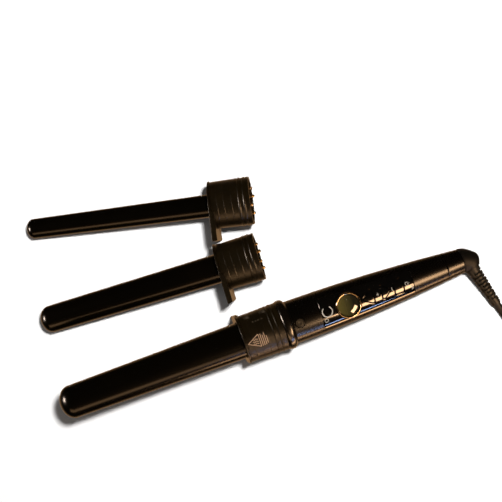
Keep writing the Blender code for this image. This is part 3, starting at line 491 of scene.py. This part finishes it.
# Works inside the handle. A glass-fibre board with a switch under each key, and the display's module on a block.
board_fibre = moulded("board_fibre", (0.012, 0.10, 0.035), (0.02, 0.16, 0.06), 0.45, 1200.0, 0.3, clouds=300.0)
dress(board_fibre, "circuit_board")
dress(nylon, "up_switch", "down_switch", "power_switch")
glass_black = moulded("display_glass_back", (0.02, 0.02, 0.015), (0.04, 0.038, 0.02), 0.3, 600.0, 0.02)
dress(glass_black, "lcd_module")

# Control panel. A thin high-gloss insert bent to the handle's curve, glued into its recess, with openings for the
# display and the three keys. Each opening's edge is eased.
panel_thick, panel_proud = 0.8 * MM, 0.1 * MM
key_corner, key_clear = 1.2 * MM, 0.35 * MM
arrow_wide, power_wide, power_long = 11.3 * MM, 12.4 * MM, 7.9 * MM
up_apex, up_base = 109.0 * MM, 117.8 * MM
down_apex, down_base = 132.9 * MM, 125.8 * MM
power_x = 141.5 * MM
arrow_half = arrow_wide / 2 - key_corner
power_half_long, power_half_wide = power_long / 2 - key_corner, power_wide / 2 - key_corner
key_cores = {
    "up": np.array(
        [(up_apex + key_corner, 0), (up_base - key_corner, -arrow_half), (up_base - key_corner, arrow_half)]
    ),
    "down": np.array(
        [(down_apex - key_corner, 0), (down_base + key_corner, arrow_half), (down_base + key_corner, -arrow_half)]
    ),
    "power": np.array(
        [
            (power_x - power_half_long, -power_half_wide),
            (power_x + power_half_long, -power_half_wide),
            (power_x + power_half_long, power_half_wide),
            (power_x - power_half_long, power_half_wide),
        ]
    ),
}


def from_outline(x, y, core):
    """How far points are outside a convex core, less its corner radius: the nearest of the core's sides, counted
    negative within them."""
    nearest = np.full(np.broadcast(x, y).shape, np.inf)
    deepest = np.full(nearest.shape, -np.inf)
    for start, end in zip(core, np.roll(core, -1, 0)):
        side = end - start
        way = np.clip(((x - start[0]) * side[0] + (y - start[1]) * side[1]) / (side @ side), 0, 1)
        nearest = np.minimum(nearest, np.hypot(x - start[0] - way * side[0], y - start[1] - way * side[1]))
        outward = ((x - start[0]) * side[1] - (y - start[1]) * side[0]) / np.linalg.norm(side)
        deepest = np.maximum(deepest, outward)
    return np.where(deepest > 0, nearest, -nearest) - key_corner


panel_rows = np.concatenate(
    [
        [panel_low, panel_low + 0.08 * MM],
        np.linspace(panel_low + 0.25 * MM, panel_high - 0.25 * MM, 330),
        [panel_high - 0.08 * MM, panel_high],
    ]
)[:, None]
panel_angles = np.concatenate(
    [[-panel_half_arc, -panel_half_arc + 0.005], np.linspace(-panel_half_arc + 0.015, panel_half_arc - 0.015, 120)]
    + [[panel_half_arc - 0.005, panel_half_arc]]
)[None, :]
panel_across = handle_radius(panel_rows) * np.sin(panel_angles)
panel_sunk = 3.5 * MM * inside(np.hypot(panel_rows - display_x, panel_across), bezel_radius + 0.2 * MM, 0.4 * MM)
for core in key_cores.values():
    apart = from_outline(panel_rows, panel_across, core)
    panel_sunk = np.maximum(panel_sunk, 3.0 * MM * inside(apart, key_clear, 0.35 * MM))
    panel_sunk = np.maximum(panel_sunk, 0.16 * MM * inside(apart, key_clear + 0.4 * MM, 0.5 * MM))
edge_x = np.minimum(panel_rows - panel_low, panel_high - panel_rows)
edge_y = (panel_half_arc - np.abs(panel_angles)) * handle_radius(panel_rows)
panel_drop = 0.3 * MM * (1 - np.clip(np.minimum(edge_x, edge_y) / (0.25 * MM), 0, 1)) ** 2
panel_top = around_wand(panel_rows, panel_angles, handle_radius(panel_rows) + panel_proud - panel_sunk - panel_drop)
panel_under = around_wand(
    panel_rows, panel_angles, handle_radius(panel_rows) + panel_proud - panel_sunk - panel_thick
)
panel_points = placed(np.concatenate([panel_top, panel_under[:, ::-1]], 1), handle_axes, wand_at)
panel_gloss = moulded(
    "piano_black", (0.0008, 0.0007, 0.0006), (0.0018, 0.0014, 0.001), 0.12, 700.0, 0.015, roughness_spread=0.03,
    coat=0.6,
)
panel = piece("control_insert", skin("control_insert", panel_points), panel_gloss)
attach(panel, "handle")
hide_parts("control_panel")

# Keys. Two arrow keys and a power key in gloss ABS, crowned like the handle and just proud of the panel; each
# clicks a switch on the board.
key_proud, key_bottom, key_round = 0.4 * MM, 11.5 * MM, 0.45 * MM


def key_rim(core, steps=7):
    """A key's outline: round each corner of its core an arc turns from one side's outward line to the next."""
    rim = []
    for before, corner, after in zip(np.roll(core, 1, 0), core, np.roll(core, -1, 0)):
        into, out = corner - before, after - corner
        first = math.atan2(-into[0], into[1])
        turn = (math.atan2(-out[0], out[1]) - first) % math.tau
        angle = first + turn * np.linspace(0, 1, steps)
        rim.append(corner + key_corner * np.stack([np.cos(angle), np.sin(angle)], -1))
    rim = np.concatenate(rim)
    return evened(np.column_stack([np.vstack([rim, rim[:1]]), np.zeros(len(rim) + 1)]), 0.35 * MM)[:-1, :2]


def key_body(core):
    """A closed key. Rings grow from the middle to the outline on the crown, round over its edge by a quarter
    circle, and go straight down to a flat underside. The crown is the handle's own curve, a little higher."""
    rim = key_rim(core)
    centre = core.mean(0)
    reach = np.linalg.norm(rim - centre, axis=1).mean()
    spread = np.concatenate([np.linspace(0.03, 1 - key_round / reach, 12), [1, 1, 1, 1, 1, 1]])
    bend = np.concatenate([np.zeros(12), np.radians((18, 36, 54, 72, 90, 90))])
    spread[12:] = 1 - key_round / reach * (1 - np.sin(bend[12:]))
    flat = centre + spread[:, None, None] * (rim - centre)
    crown = np.sqrt((handle_radius(flat[..., 0]) + key_proud) ** 2 - flat[..., 1] ** 2)
    height = crown - key_round * (1 - np.cos(bend))[:, None]
    height[-1] = key_bottom
    return np.concatenate([flat, height[..., None]], -1)


for key, core in key_cores.items():
    button = piece(key + "_key", skin(key + "_key", placed(key_body(core), handle_axes, wand_at)), panel_gloss)
    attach(button, key + "_button")
    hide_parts(key + "_button")

# Release button. A small round cap of satin black ABS with a shallow finger dish and a turned ring round its edge.
# Its colour is lighter than the shells' and carries a painted sheen.
release_profile = np.array(
    [
        (14.5, 3.0), (14.5, 3.85), (18.6, 3.85), (19.0, 3.8), (19.25, 3.6), (19.33, 3.3), (19.28, 3.05), (18.98, 2.9),
        (18.98, 2.7), (19.22, 2.5), (19.28, 2.2), (19.22, 1.6), (19.12, 0.8), (19.1, 0.05),
    ]
) * MM


def turned_up(profile, place_x, sides):
    """A profile of (height, radius) carried round an upright line through a place on the wand's axis."""
    around = np.linspace(0, math.tau, sides, endpoint=False)
    height, radius = profile[:, 0, None], profile[:, 1, None]
    return np.stack([place_x + radius * np.cos(around), radius * np.sin(around), height + 0 * around], -1)


release_cap = piece(
    "release_cap",
    skin("release_cap", placed(turned_up(release_profile, release_x, 64), handle_axes, wand_at)),
    # Painted sheen: the cap's colour is a lighter brown than the shells' black ABS, standing for the light it
    # catches.
    moulded("release_abs_painted_sheen", (0.006, 0.004, 0.002), (0.016, 0.010, 0.005), 0.36, 1500.0, 0.10, clouds=60.0),
)
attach(release_cap, "release_button")
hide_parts("release_button")

# Display. A plated ring stands in the panel's round opening, and a domed lens over the figures is pressed into it.
# The lens's colour carries a painted reflection: olive-gold on the side towards the tip, fading to near black.
bezel_profile = np.array(
    [
        (12.4, 11.3), (17.1, 11.3), (17.55, 11.22), (17.9, 11.0), (18.12, 10.7), (18.2, 10.4), (18.13, 10.1),
        (17.9, 9.85), (17.5, 9.72), (12.4, 9.7),
    ]
) * MM
warm_chrome = moulded("warm_chrome", (0.62, 0.50, 0.32), (0.72, 0.60, 0.42), 0.16, 900.0, 0.03, metallic=1.0)
bezel = piece(
    "display_ring",
    skin("display_ring", placed(turned_up(bezel_profile, display_x, 96), handle_axes, wand_at), rows_meet=True),
    warm_chrome,
)
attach(bezel, "handle")
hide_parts("display_bezel")
lens_radius, lens_rim, lens_crown, lens_bottom = 9.4 * MM, 16.3 * MM, 18.0 * MM, 16.0 * MM
dome_way = np.linspace(0.02, 0.97, 20)
lens_profile = np.concatenate(
    [
        np.stack([lens_rim + (lens_crown - lens_rim) * (1 - dome_way**2.4), lens_radius * dome_way], -1),
        [(lens_rim - 0.05 * MM, lens_radius), (lens_bottom, lens_radius)],
    ]
)
lens = piece(
    "display_window",
    skin("display_window", placed(turned_up(lens_profile, display_x, 96), handle_axes, wand_at)),
    bpy.data.materials.new("tinted_lens_painted_reflection"),
)
lens_tint_painted_reflection = lens.data.materials[0]
lens_tint_painted_reflection.use_nodes = True
lens_tree = lens_tint_painted_reflection.node_tree
lens_shader = lens_tree.nodes["Principled BSDF"]
lens_shader.inputs["Roughness"].default_value = 0.07
lens_shader.inputs["Coat Weight"].default_value = 1.0
lens_shader.inputs["Coat Roughness"].default_value = 0.05
lens_where = lens_tree.nodes.new("ShaderNodeTexCoord")
lens_place = lens_tree.nodes.new("ShaderNodeMapping")
lens_place.vector_type = "TEXTURE"
display_at = placed(np.array((display_x, 0, lens_crown)), handle_axes, wand_at)
lens_place.inputs["Location"].default_value = display_at
lens_reflection_side = lens_tree.nodes.new("ShaderNodeSeparateXYZ")
lens_reflection_ramp = lens_tree.nodes.new("ShaderNodeValToRGB")
lens_reflection_span = lens_tree.nodes.new("ShaderNodeMapRange")
lens_reflection_span.inputs["From Min"].default_value = -lens_radius
lens_reflection_span.inputs["From Max"].default_value = lens_radius
# Painted reflection: the lens is olive-gold on the side towards the tip and fades to its own near black three
# quarters of the way across.
lens_reflection_ramp.color_ramp.elements[0].color = (0.075, 0.056, 0.014, 1)
lens_reflection_ramp.color_ramp.elements[1].position = 0.75
lens_reflection_ramp.color_ramp.elements[1].color = (0.010, 0.008, 0.004, 1)
lens_tree.links.new(lens_where.outputs["Object"], lens_place.inputs["Vector"])
lens_tree.links.new(lens_place.outputs["Vector"], lens_reflection_side.inputs["Vector"])
lens_tree.links.new(lens_reflection_side.outputs["X"], lens_reflection_span.inputs["Value"])
lens_tree.links.new(lens_reflection_span.outputs["Result"], lens_reflection_ramp.inputs["Fac"])
lens_tree.links.new(lens_reflection_ramp.outputs["Color"], lens_shader.inputs["Base Color"])
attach(lens, "handle")
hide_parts("display_lens")

# Printing on the handle. Pale pad-printed marks: degrees by the display, plus and minus between the keys, and the
# usual power sign at the panel's end.
ink_lift, ink_thick = 0.05 * MM, 0.04 * MM


def stroke(path, width):
    """A ribbon of two edges on either side of a path of (along, across), square to it."""
    path = np.array(path, float)
    heading = np.gradient(path, axis=0)
    heading /= np.linalg.norm(heading, axis=1)[:, None]
    side = np.stack([-heading[:, 1], heading[:, 0]], -1) * width / 2
    return np.stack([path + side, path - side], 1)


def bar(start, end, width):
    """A straight ribbon, with a few points on the way so that it bends with the surface."""
    return stroke(np.linspace(start, end, 9), width)


def bow(centre, radius, first, last, width):
    """A ribbon along a circle between two angles, in degrees."""
    angle = np.radians(np.linspace(first, last, 37))
    return stroke(np.array(centre) + radius * np.stack([np.cos(angle), np.sin(angle)], -1), width)


def printed(name, ribbons, surface, ink, body):
    """Printed marks: every ribbon is laid on a surface, which turns (along, across) into a point, and they are one
    mesh given a film's thickness."""
    points, faces = [], []
    for ribbon in ribbons:
        count, first = len(ribbon), sum(len(p) for p in points)
        points.append(surface(ribbon[..., 0], ribbon[..., 1]).reshape(-1, 3))
        step = first + 2 * np.arange(count - 1)
        faces.append(np.stack([step, step + 1, step + 3, step + 2], -1))
    mesh = bpy.data.meshes.new(name)
    place, squares = np.concatenate(points), np.concatenate(faces)
    a, b, c = (place[squares[:, k]] for k in range(3))
    middle = surface(np.array([ribbons[0][0, 0, 0]]), np.array([ribbons[0][0, 0, 1]]), below=5 * MM)[0]
    lean = (np.cross(b - a, c - a) * (place[squares[:, 0]] - middle)).sum(1)
    squares[lean < 0] = squares[lean < 0][:, ::-1]
    mesh.from_pydata(place.tolist(), [], squares.tolist())
    mark = piece(name, mesh, ink)
    film = mark.modifiers.new("film", "SOLIDIFY")
    film.thickness = ink_thick
    film.offset = 1.0
    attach(mark, body)
    return mark


def on_handle(x, across, below=0.0):
    """A point on the panel by its place along the wand and its distance round from the top."""
    radius = handle_radius(x) + panel_proud + ink_lift - below
    return placed(around_wand(x, across / handle_radius(x), radius), handle_axes, wand_at)


pale_ink = moulded("pale_ink", (0.26, 0.23, 0.19), (0.38, 0.34, 0.28), 0.6, 2500.0, 0.2, clouds=900.0)
line = 0.42 * MM
marks = [
    bow((73.0 * MM, -6.2 * MM), 1.5 * MM, 0, 360, 0.6 * MM),
    bow((75.8 * MM, 1.0 * MM), 4.4 * MM, 125, 415, 0.95 * MM),
    bar((120.7 * MM, 0), (123.3 * MM, 0), line),
    bar((122.0 * MM, -1.3 * MM), (122.0 * MM, 1.3 * MM), line),
    bar((135.4 * MM, -1.4 * MM), (135.4 * MM, 1.4 * MM), line),
    bow((149.3 * MM, 0), 1.5 * MM, 35, 325, line),
    bar((149.7 * MM, 0), (151.4 * MM, 0), line),
    bar((152.9 * MM, -6.5 * MM), (152.9 * MM, -2.6 * MM), 0.7 * MM),
    bar((154.0 * MM, -6.5 * MM), (154.0 * MM, -2.6 * MM), 0.45 * MM),
]
printed("handle_marks", marks, on_handle, pale_ink, "handle")

# Lock ring. A bulged ring of satin ABS round the wand's neck: a hand turns it an eighth of a turn to hold the
# barrel. It runs on the socket block.
ring_start, ring_end = 36.4 * MM, 44.6 * MM
ring_radius, ring_inner = 21.9 * MM, 18.6 * MM


def turned_along(profile, sides):
    """A profile of (along, radius) carried round the wand's axis."""
    around = np.linspace(0, math.tau, sides, endpoint=False)[None, :]
    return around_wand(profile[:, 0, None], around, profile[:, 1, None])


ring_span = ring_end - ring_start
bulge = np.linspace(0.04, 0.96, 24)
ring_outside = np.stack(
    [ring_end - ring_span * bulge, ring_radius - 2.0 * MM * np.abs(2 * (bulge - 0.56)) ** 3.2 - 0.05 * MM], -1
)
ring_rim = [(ring_end, nose_radius + 0.5 * MM), (ring_end, ring_inner), (ring_start, ring_inner)]
ring_profile = np.concatenate([ring_outside, [(ring_start, ring_radius - 1.5 * MM)], ring_rim[::-1]])
lock_ring = piece(
    "lock_ring_turned",
    skin("lock_ring_turned", placed(turned_along(ring_profile, 120), handle_axes, wand_at), rows_meet=True),
    moulded("ring_abs", (0.0008, 0.0005, 0.0003), (0.0030, 0.0018, 0.0008), 0.25, 1500.0, 0.04, shine=0.95),
)
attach(lock_ring, "lock_ring")
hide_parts("lock_ring")

# Tail collar. A satin ABS ring that follows the handle's taper, slides over the shells' tail and clamps them; the
# swivel's rotor snaps into it.
collar_start = 188.4 * MM
collar_line = np.linspace(collar_end - 0.25 * MM, collar_start + 0.5 * MM, 20)
collar_profile = np.concatenate(
    [
        [(collar_end, tail_radius - 0.25 * MM)],
        np.stack([collar_line, handle_radius(collar_line)], -1),
        [(collar_start + 0.15 * MM, handle_radius(collar_start) - 0.2 * MM)],
        [(collar_start, handle_radius(collar_start) - 0.55 * MM)],
        np.array([(188.4, 10.05), (186.4, 10.05), (186.4, 8.6), (194.0, 8.6), (194.0, 6.5), (204.2, 6.5)]) * MM,
    ]
)
collar = piece(
    "tail_collar_turned",
    skin("tail_collar_turned", placed(turned_along(collar_profile, 96), handle_axes, wand_at), rows_meet=True),
    shell_abs,
)
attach(collar, "handle")
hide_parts("tail_collar")
dress(nylon, "swivel_rotor")

# Swivel cap. A matte elbow, moulded in one: it turns on the wand's axis with its rotor and leads the cord away to
# the side.
swivel_axes = rolled(5.0)
cap_radius, cap_pivot = 10.8 * MM, 11.5 * MM
cap_turn, cap_mouth_wide, cap_mouth_deep = math.radians(73.7), 15.0 * MM, 7.6 * MM
cap_inner = 0.7 * MM
shoulder_rise, shoulder_at, shoulder_wide = 0.10, 0.72, 0.2


def elbow():
    """Ellipses in planes that swing about a pivot line at the elbow's inner side. The outer side comes in by a power
    of the swing, with a bell-shaped shoulder near the mouth, and the depth shrinks evenly. The first ring stands
    flat at the collar, and the last draw in round the mouth's edge."""
    way = np.concatenate([[0, 0, 0.004], np.linspace(0.02, 0.985, 40), [1.0, 1.0, 1.0]])[:, None]
    draw_in = np.ones_like(way)
    draw_in[0], draw_in[1], draw_in[-2], draw_in[-1] = 0.955, 0.985, 0.97, 0.93
    swing = way * cap_turn
    start = cap_start + np.where(np.arange(len(way))[:, None] < 2, 0.0, 0.5 * MM)
    start[1] = cap_start + 0.15 * MM
    around = np.linspace(0, math.tau, 72, endpoint=False)[None, :]
    shoulder = 1 + shoulder_rise * np.exp(-(((way - shoulder_at) / shoulder_wide) ** 2))
    outer = (2 * cap_radius + cap_inner + (cap_mouth_wide - 2 * cap_radius - cap_inner) * way**1.5) * shoulder
    deep = (cap_radius + (cap_mouth_deep - cap_radius) * way) * draw_in
    middle, half = (outer + cap_inner) / 2, (outer - cap_inner) / 2 * draw_in
    out = middle + half * np.cos(around)
    return np.stack(
        [start + out * np.sin(swing), out * np.cos(swing) - cap_pivot, deep * np.sin(around) + 0 * out], -1
    )


cap_matte = moulded(
    "textured_black", (0.0012, 0.001, 0.0008), (0.0045, 0.0034, 0.0022), 0.5, 2200.0, 0.5, clouds=120.0, shine=0.28,
)
cap = piece("swivel_elbow", skin("swivel_elbow", placed(elbow(), swivel_axes, wand_at)), cap_matte)
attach(cap, "swivel")
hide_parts("swivel_cap")

# Strain relief. Soft black PVC moulded onto the cord: a taper with rows of slots, each row turned a quarter from
# the last, so that it bends evenly and the cord can't kink.
relief_length, relief_seat = 39 * MM, 2.7 * MM
relief_root, relief_end = 6.2 * MM, 4.1 * MM
slot_start, slot_pitch, slot_rows, slot_deep, slot_half = 5.4 * MM, 3.3 * MM, 9, 2.3 * MM, 0.8 * MM
relief_heading = lead_heading / np.linalg.norm(lead_heading)
relief_level = np.cross((0, 0, 1.0), relief_heading)
relief_level /= np.linalg.norm(relief_level)
relief_axes = np.stack([relief_heading, relief_level, np.cross(relief_heading, relief_level)])
relief_mouth = relief_tip - relief_length * relief_heading


def relief_skin():
    """Rings along the taper. In each row of slots the surface drops to the slot's floor, except on the two bridges
    that join one rib to the next."""
    along = np.concatenate([[-relief_seat, 0], np.linspace(0.4 * MM, relief_length - 0.5 * MM, 230), [relief_length]])
    along = along[:, None]
    around = np.linspace(0, math.tau, 64, endpoint=False)[None, :]
    radius = relief_root + (relief_end - relief_root) * np.clip(along / relief_length, 0, 1)
    row = np.clip(np.round((along - slot_start) / slot_pitch), 0, slot_rows - 1)
    apart = np.abs(along - slot_start - row * slot_pitch)
    bridge = np.abs(np.cos(around + row * math.pi / 2 + math.pi / 4)) > 0.93
    drop = np.where(bridge, 0, slot_deep * inside(apart, slot_half, 0.3 * MM))
    radius = radius - drop * radius / relief_root
    radius[-1] -= 0.5 * MM
    return np.stack([along + 0 * around, radius * np.sin(around), radius * np.cos(around)], -1)


relief_pvc = moulded("relief_pvc", (0.006, 0.0045, 0.003), (0.017, 0.012, 0.007), 0.42, 1400.0, 0.2)
relief = piece("cord_relief", skin("cord_relief", placed(relief_skin(), relief_axes, relief_mouth)), relief_pvc)
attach(relief, "swivel")
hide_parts("strain_relief")

# Barrels. Each has a ceramic-coated aluminium tube that tapers to a dome, a heat-guard sleeve, a flange with a
# rest foot, and a base whose four pins go into the handle. One is on the wand, and two lie on the table.
tube_length, tube_wall, dome_share = 163 * MM, 1.2 * MM, 0.75
tube_radii = {"large": (16.0 * MM, 14.1 * MM), "medium": (12.8 * MM, 11.7 * MM), "small": (10.15 * MM, 8.6 * MM)}
flange_radius = 21.1 * MM
sleeve_start, sleeve_end = 1.9 * MM, 36.1 * MM
sleeve_radius, sleeve_flare, sleeve_wall = 20.35 * MM, 0.5 * MM, 1.65 * MM
bead_places, bead_height, bead_half = (27.0 * MM, 31.4 * MM), 0.45 * MM, 0.9 * MM
base_front = 18.1 * MM
pin_circle, pin_clock = 11.5 * MM, math.radians(15 + 6)
resting_places = {"medium": (3.3 * MM, 64.8 * MM, -2.7), "small": (14.0 * MM, 118.4 * MM, -12.3)}


def lying(size):
    """The axes and origin of a spare barrel: it lies on its foot's flat side and on its dome, so it is rolled a
    quarter turn, then pitched until the dome's shoulder is down."""
    x, y, yaw = resting_places[size]
    tip_radius = tube_radii[size][1]
    pitch = math.atan2(flange_radius - tip_radius - 0.1 * MM, tube_length - dome_share * tip_radius)
    turn = (
        Matrix.Rotation(math.radians(yaw), 3, "Z")
        @ Matrix.Rotation(-pitch, 3, "Y")
        @ Matrix.Rotation(-math.pi / 2, 3, "X")
    )
    return np.array(turn).T, np.array((x, y, flange_radius * math.cos(pitch)))


def tube_profile(size):
    """The tube's closed profile: a straight taper, an elliptical dome with a small dimple at its tip, and the same
    line a wall's thickness inside."""
    root_radius, tip_radius = tube_radii[size]
    shoulder = dome_share * tip_radius - tube_length
    arc = np.radians(np.linspace(90, 4, 26))
    outside = np.stack([shoulder - dome_share * tip_radius * np.cos(arc), tip_radius * np.sin(arc)], -1)
    dimple = np.array([(-tube_length + 0.02 * MM, 0.75 * MM), (-tube_length + 0.7 * MM, 0.65 * MM)])
    floor = np.array([(-tube_length + 0.75 * MM, 0.05 * MM), (-tube_length + 2.4 * MM, 0.05 * MM)])
    inner_arc = np.radians(np.linspace(8, 90, 14))
    inner_tip, inner_dome = tip_radius - tube_wall, dome_share * tip_radius - tube_wall
    inner = np.stack([shoulder - (inner_dome - 1.2 * MM) * np.cos(inner_arc), inner_tip * np.sin(inner_arc)], -1)
    root = base_front - 0.3 * MM
    ends = np.array([(root, root_radius - tube_wall), (root, root_radius)])
    return np.concatenate([outside, dimple, floor, inner, ends])


def sleeve_line(x):
    """The sleeve's plain outer radius, a little wider towards the handle."""
    return sleeve_radius + sleeve_flare * (x - sleeve_start) / (sleeve_end - sleeve_start)


def sleeve_skin():
    """The sleeve's wall. Two beads rise by a smooth hump each, three thin ribs run all the way round, and a fine
    step runs round the handle end."""
    wall_line = np.linspace(sleeve_end - 0.3 * MM, sleeve_start, 210)
    along = np.concatenate([[sleeve_end, sleeve_end - 0.1 * MM], wall_line])[:, None]
    around = np.linspace(0, math.tau, 144, endpoint=False)[None, :]
    radius = sleeve_line(along) + 0 * around
    for bead in bead_places:
        radius = radius + bead_height * inside(np.abs(along - bead), bead_half * 0.75, bead_half * 0.8)
    for rib in (8.0 * MM, 14.0 * MM, 20.6 * MM):
        radius = radius + 0.14 * MM * inside(np.abs(along - rib), 0.28 * MM, 0.2 * MM)
    radius[0] -= 0.25 * MM
    radius[-1] -= 0.05 * MM
    bore = np.full((2, 144), sleeve_radius - sleeve_wall)
    return around_wand(
        np.concatenate([along, [[sleeve_start], [sleeve_end]]]), around, np.concatenate([radius, bore])
    )


def softened(node, name, width):
    """A copy of a CAD piece with its triangles joined into whole faces and its edges eased by a bevel."""
    mesh = frame["nodes"][node].data.copy()
    mesh.materials.clear()
    work = bmesh.new()
    work.from_mesh(mesh)
    bmesh.ops.remove_doubles(work, verts=work.verts, dist=0.01 * MM)
    bmesh.ops.dissolve_limit(work, angle_limit=math.radians(0.5), verts=work.verts, edges=work.edges)
    work.to_mesh(mesh)
    work.free()
    mesh.shade_smooth()
    mesh.set_sharp_from_angle(angle=math.radians(30))
    mesh.name = name
    made = bpy.data.objects.new(name, mesh)
    bpy.context.scene.collection.objects.link(made)
    ease = made.modifiers.new("eased_edges", "BEVEL")
    ease.width = width
    ease.segments = 2
    ease.limit_method = "ANGLE"
    ease.angle_limit = math.radians(35)
    ease.harden_normals = True
    return made


def pin_profile():
    """A pin: a straight shank with a rounded shoulder and a short pointed end."""
    return np.array(
        [
            (19.6, 0.05), (19.6, 1.5), (36.6, 1.5), (37.0, 1.46), (37.3, 1.35), (37.7, 1.1), (38.1, 0.75),
            (38.36, 0.4), (38.4, 0.05),
        ]
    ) * MM


ceramic = moulded(
    "ceramic_coat", (0.0003, 0.0002, 0.0001), (0.0016, 0.0010, 0.0003), 0.22, 900.0, 0.02, clouds=26.0,
    roughness_spread=0.04, shine=0.3,
)
sleeve_nylon = moulded(
    "heat_guard_nylon", (0.0012, 0.0007, 0.0002), (0.0078, 0.0046, 0.0013), 0.33, 1900.0, 0.35, clouds=90.0,
    roughness_spread=0.10, shine=0.45,
)
spreader_metal = moulded("cast_aluminium", (0.50, 0.50, 0.51), (0.66, 0.66, 0.67), 0.42, 700.0, 0.3, metallic=1.0)
ptc_ceramic = moulded("ptc_ceramic", (0.70, 0.67, 0.60), (0.85, 0.82, 0.76), 0.72, 1500.0, 0.3)
barrel_places = {"large": (wand_axes, wand_at), "medium": lying("medium"), "small": lying("small")}
for size, (axes, origin) in barrel_places.items():
    body = size + "_barrel"
    tube_points = placed(turned_along(tube_profile(size), 96), axes, origin)
    tube = piece(size + "_ceramic_tube", skin(size + "_ceramic_tube", tube_points, rows_meet=True), ceramic)
    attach(tube, body)
    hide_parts(size + "_tube")
    sleeve_points = placed(sleeve_skin(), axes, origin)
    sleeve = piece(size + "_heat_guard", skin(size + "_heat_guard", sleeve_points, rows_meet=True), sleeve_nylon)
    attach(sleeve, body)
    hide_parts(size + "_sleeve")
    foot = softened(size + "_foot", size + "_rest_foot", 0.3 * MM)
    foot.data.materials.append(sleeve_nylon)
    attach(foot, body)
    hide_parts(size + "_foot")
    base = softened(size + "_base", size + "_pin_base", 0.2 * MM)
    base.data.materials.append(nylon)
    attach(base, body)
    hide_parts(size + "_base")
    dress(spreader_metal, size + "_heat_spreader")
    dress(ptc_ceramic, size + "_ptc_heater")
    for count in range(4):
        clock = pin_clock + count * math.tau / 4
        offset = np.array((0, pin_circle * math.cos(clock), pin_circle * math.sin(clock)))
        pin_name = f"{size}_contact_{count + 1}"
        pin_points = placed(turned_along(pin_profile(), 24) + offset, axes, origin)
        contact = piece(pin_name, skin(pin_name, pin_points), pin_brass)
        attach(contact, body)
        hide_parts(f"{size}_pin_{count + 1}")

# Marks on the sleeves. A hot-surface triangle with wavy lines and plain bars on the fitted barrel, and small lock
# signs with an arrow of dots on every barrel, all pad-printed.
copper_ink = moulded("copper_ink", (0.26, 0.15, 0.085), (0.36, 0.22, 0.13), 0.5, 2500.0, 0.2, clouds=900.0)
dark_ink = moulded("worn_ink", (0.028, 0.021, 0.014), (0.05, 0.036, 0.022), 0.55, 2500.0, 0.3, clouds=900.0)
label_turn = 11.0


def on_sleeve(size, turn):
    """A surface for printing: a point on a sleeve by its place along the axis and its distance round from a line that
    is turned this many degrees from the top, towards the near side."""
    axes, origin = barrel_places[size]

    def surface(x, across, below=0.0):
        radius = sleeve_line(x) + 0.16 * MM - below
        return placed(around_wand(x, across / radius - math.radians(turn), radius), axes, origin)

    return surface


def wave(x_start, x_end, across, swing, width):
    """A wavy ribbon: two swings of a sine along the axis."""
    x = np.linspace(x_start, x_end, 33)
    return stroke(np.stack([x, across + swing * np.sin(math.tau * 2 * (x - x_start) / (x_end - x_start))], -1), width)


apex, corner_a, corner_b = np.array([(2.8, 0.0), (13.2, -5.6), (13.2, 5.6)]) * MM
warning = [bar(apex, corner_a, 0.6 * MM), bar(corner_a, corner_b, 0.6 * MM), bar(corner_b, apex, 0.6 * MM)]
warning += [wave(7.2 * MM, 12.0 * MM, across * MM, 0.45 * MM, 0.5 * MM) for across in (-1.9, 0, 1.9)]
for row, (first, last) in enumerate(((-5.6, 5.2), (-5.6, 3.8), (-5.6, 5.6), (-4.6, 2.4))):
    x = (14.8 + 1.6 * row) * MM
    warning.append(bar((x, first * MM), (x, last * MM), 0.62 * MM))
printed("hot_surface_mark", warning, on_sleeve("large", label_turn), copper_ink, "large_barrel")


def lock_sign(x, across, open_shackle):
    """A padlock: a filled body and a bow above it, lifted at one side when open."""
    lift = 0.9 * MM if open_shackle else 0.0
    side = (x - 0.9 * MM, across)
    return [
        bar((x + 0.9 * MM, across - 1.9 * MM), (x + 0.9 * MM, across + 1.9 * MM), 2.6 * MM),
        bow((side[0] - lift, side[1]), 1.25 * MM, 90, 270, 0.5 * MM),
        bar((side[0] - lift, across + 1.25 * MM), (x, across + 1.25 * MM), 0.5 * MM),
        bar((side[0] - lift, across - 1.25 * MM), (x - lift, across - 1.25 * MM), 0.5 * MM),
    ]


lock_turns = {"large": -58.0, "medium": -53.0, "small": -53.0}
for size, turn in lock_turns.items():
    signs = lock_sign(9.2 * MM, 0.0, False) + lock_sign(24.0 * MM, 0.0, True)
    signs += [bow((x * MM, -7.5 * MM), 0.35 * MM, 0, 360, 0.6 * MM) for x in (13.0, 15.4, 17.8)]
    signs.append(bar((19.6 * MM, -7.5 * MM), (22.0 * MM, -7.5 * MM), 0.6 * MM))
    printed(size + "_lock_marks", signs, on_sleeve(size, turn), dark_ink, size + "_barrel")
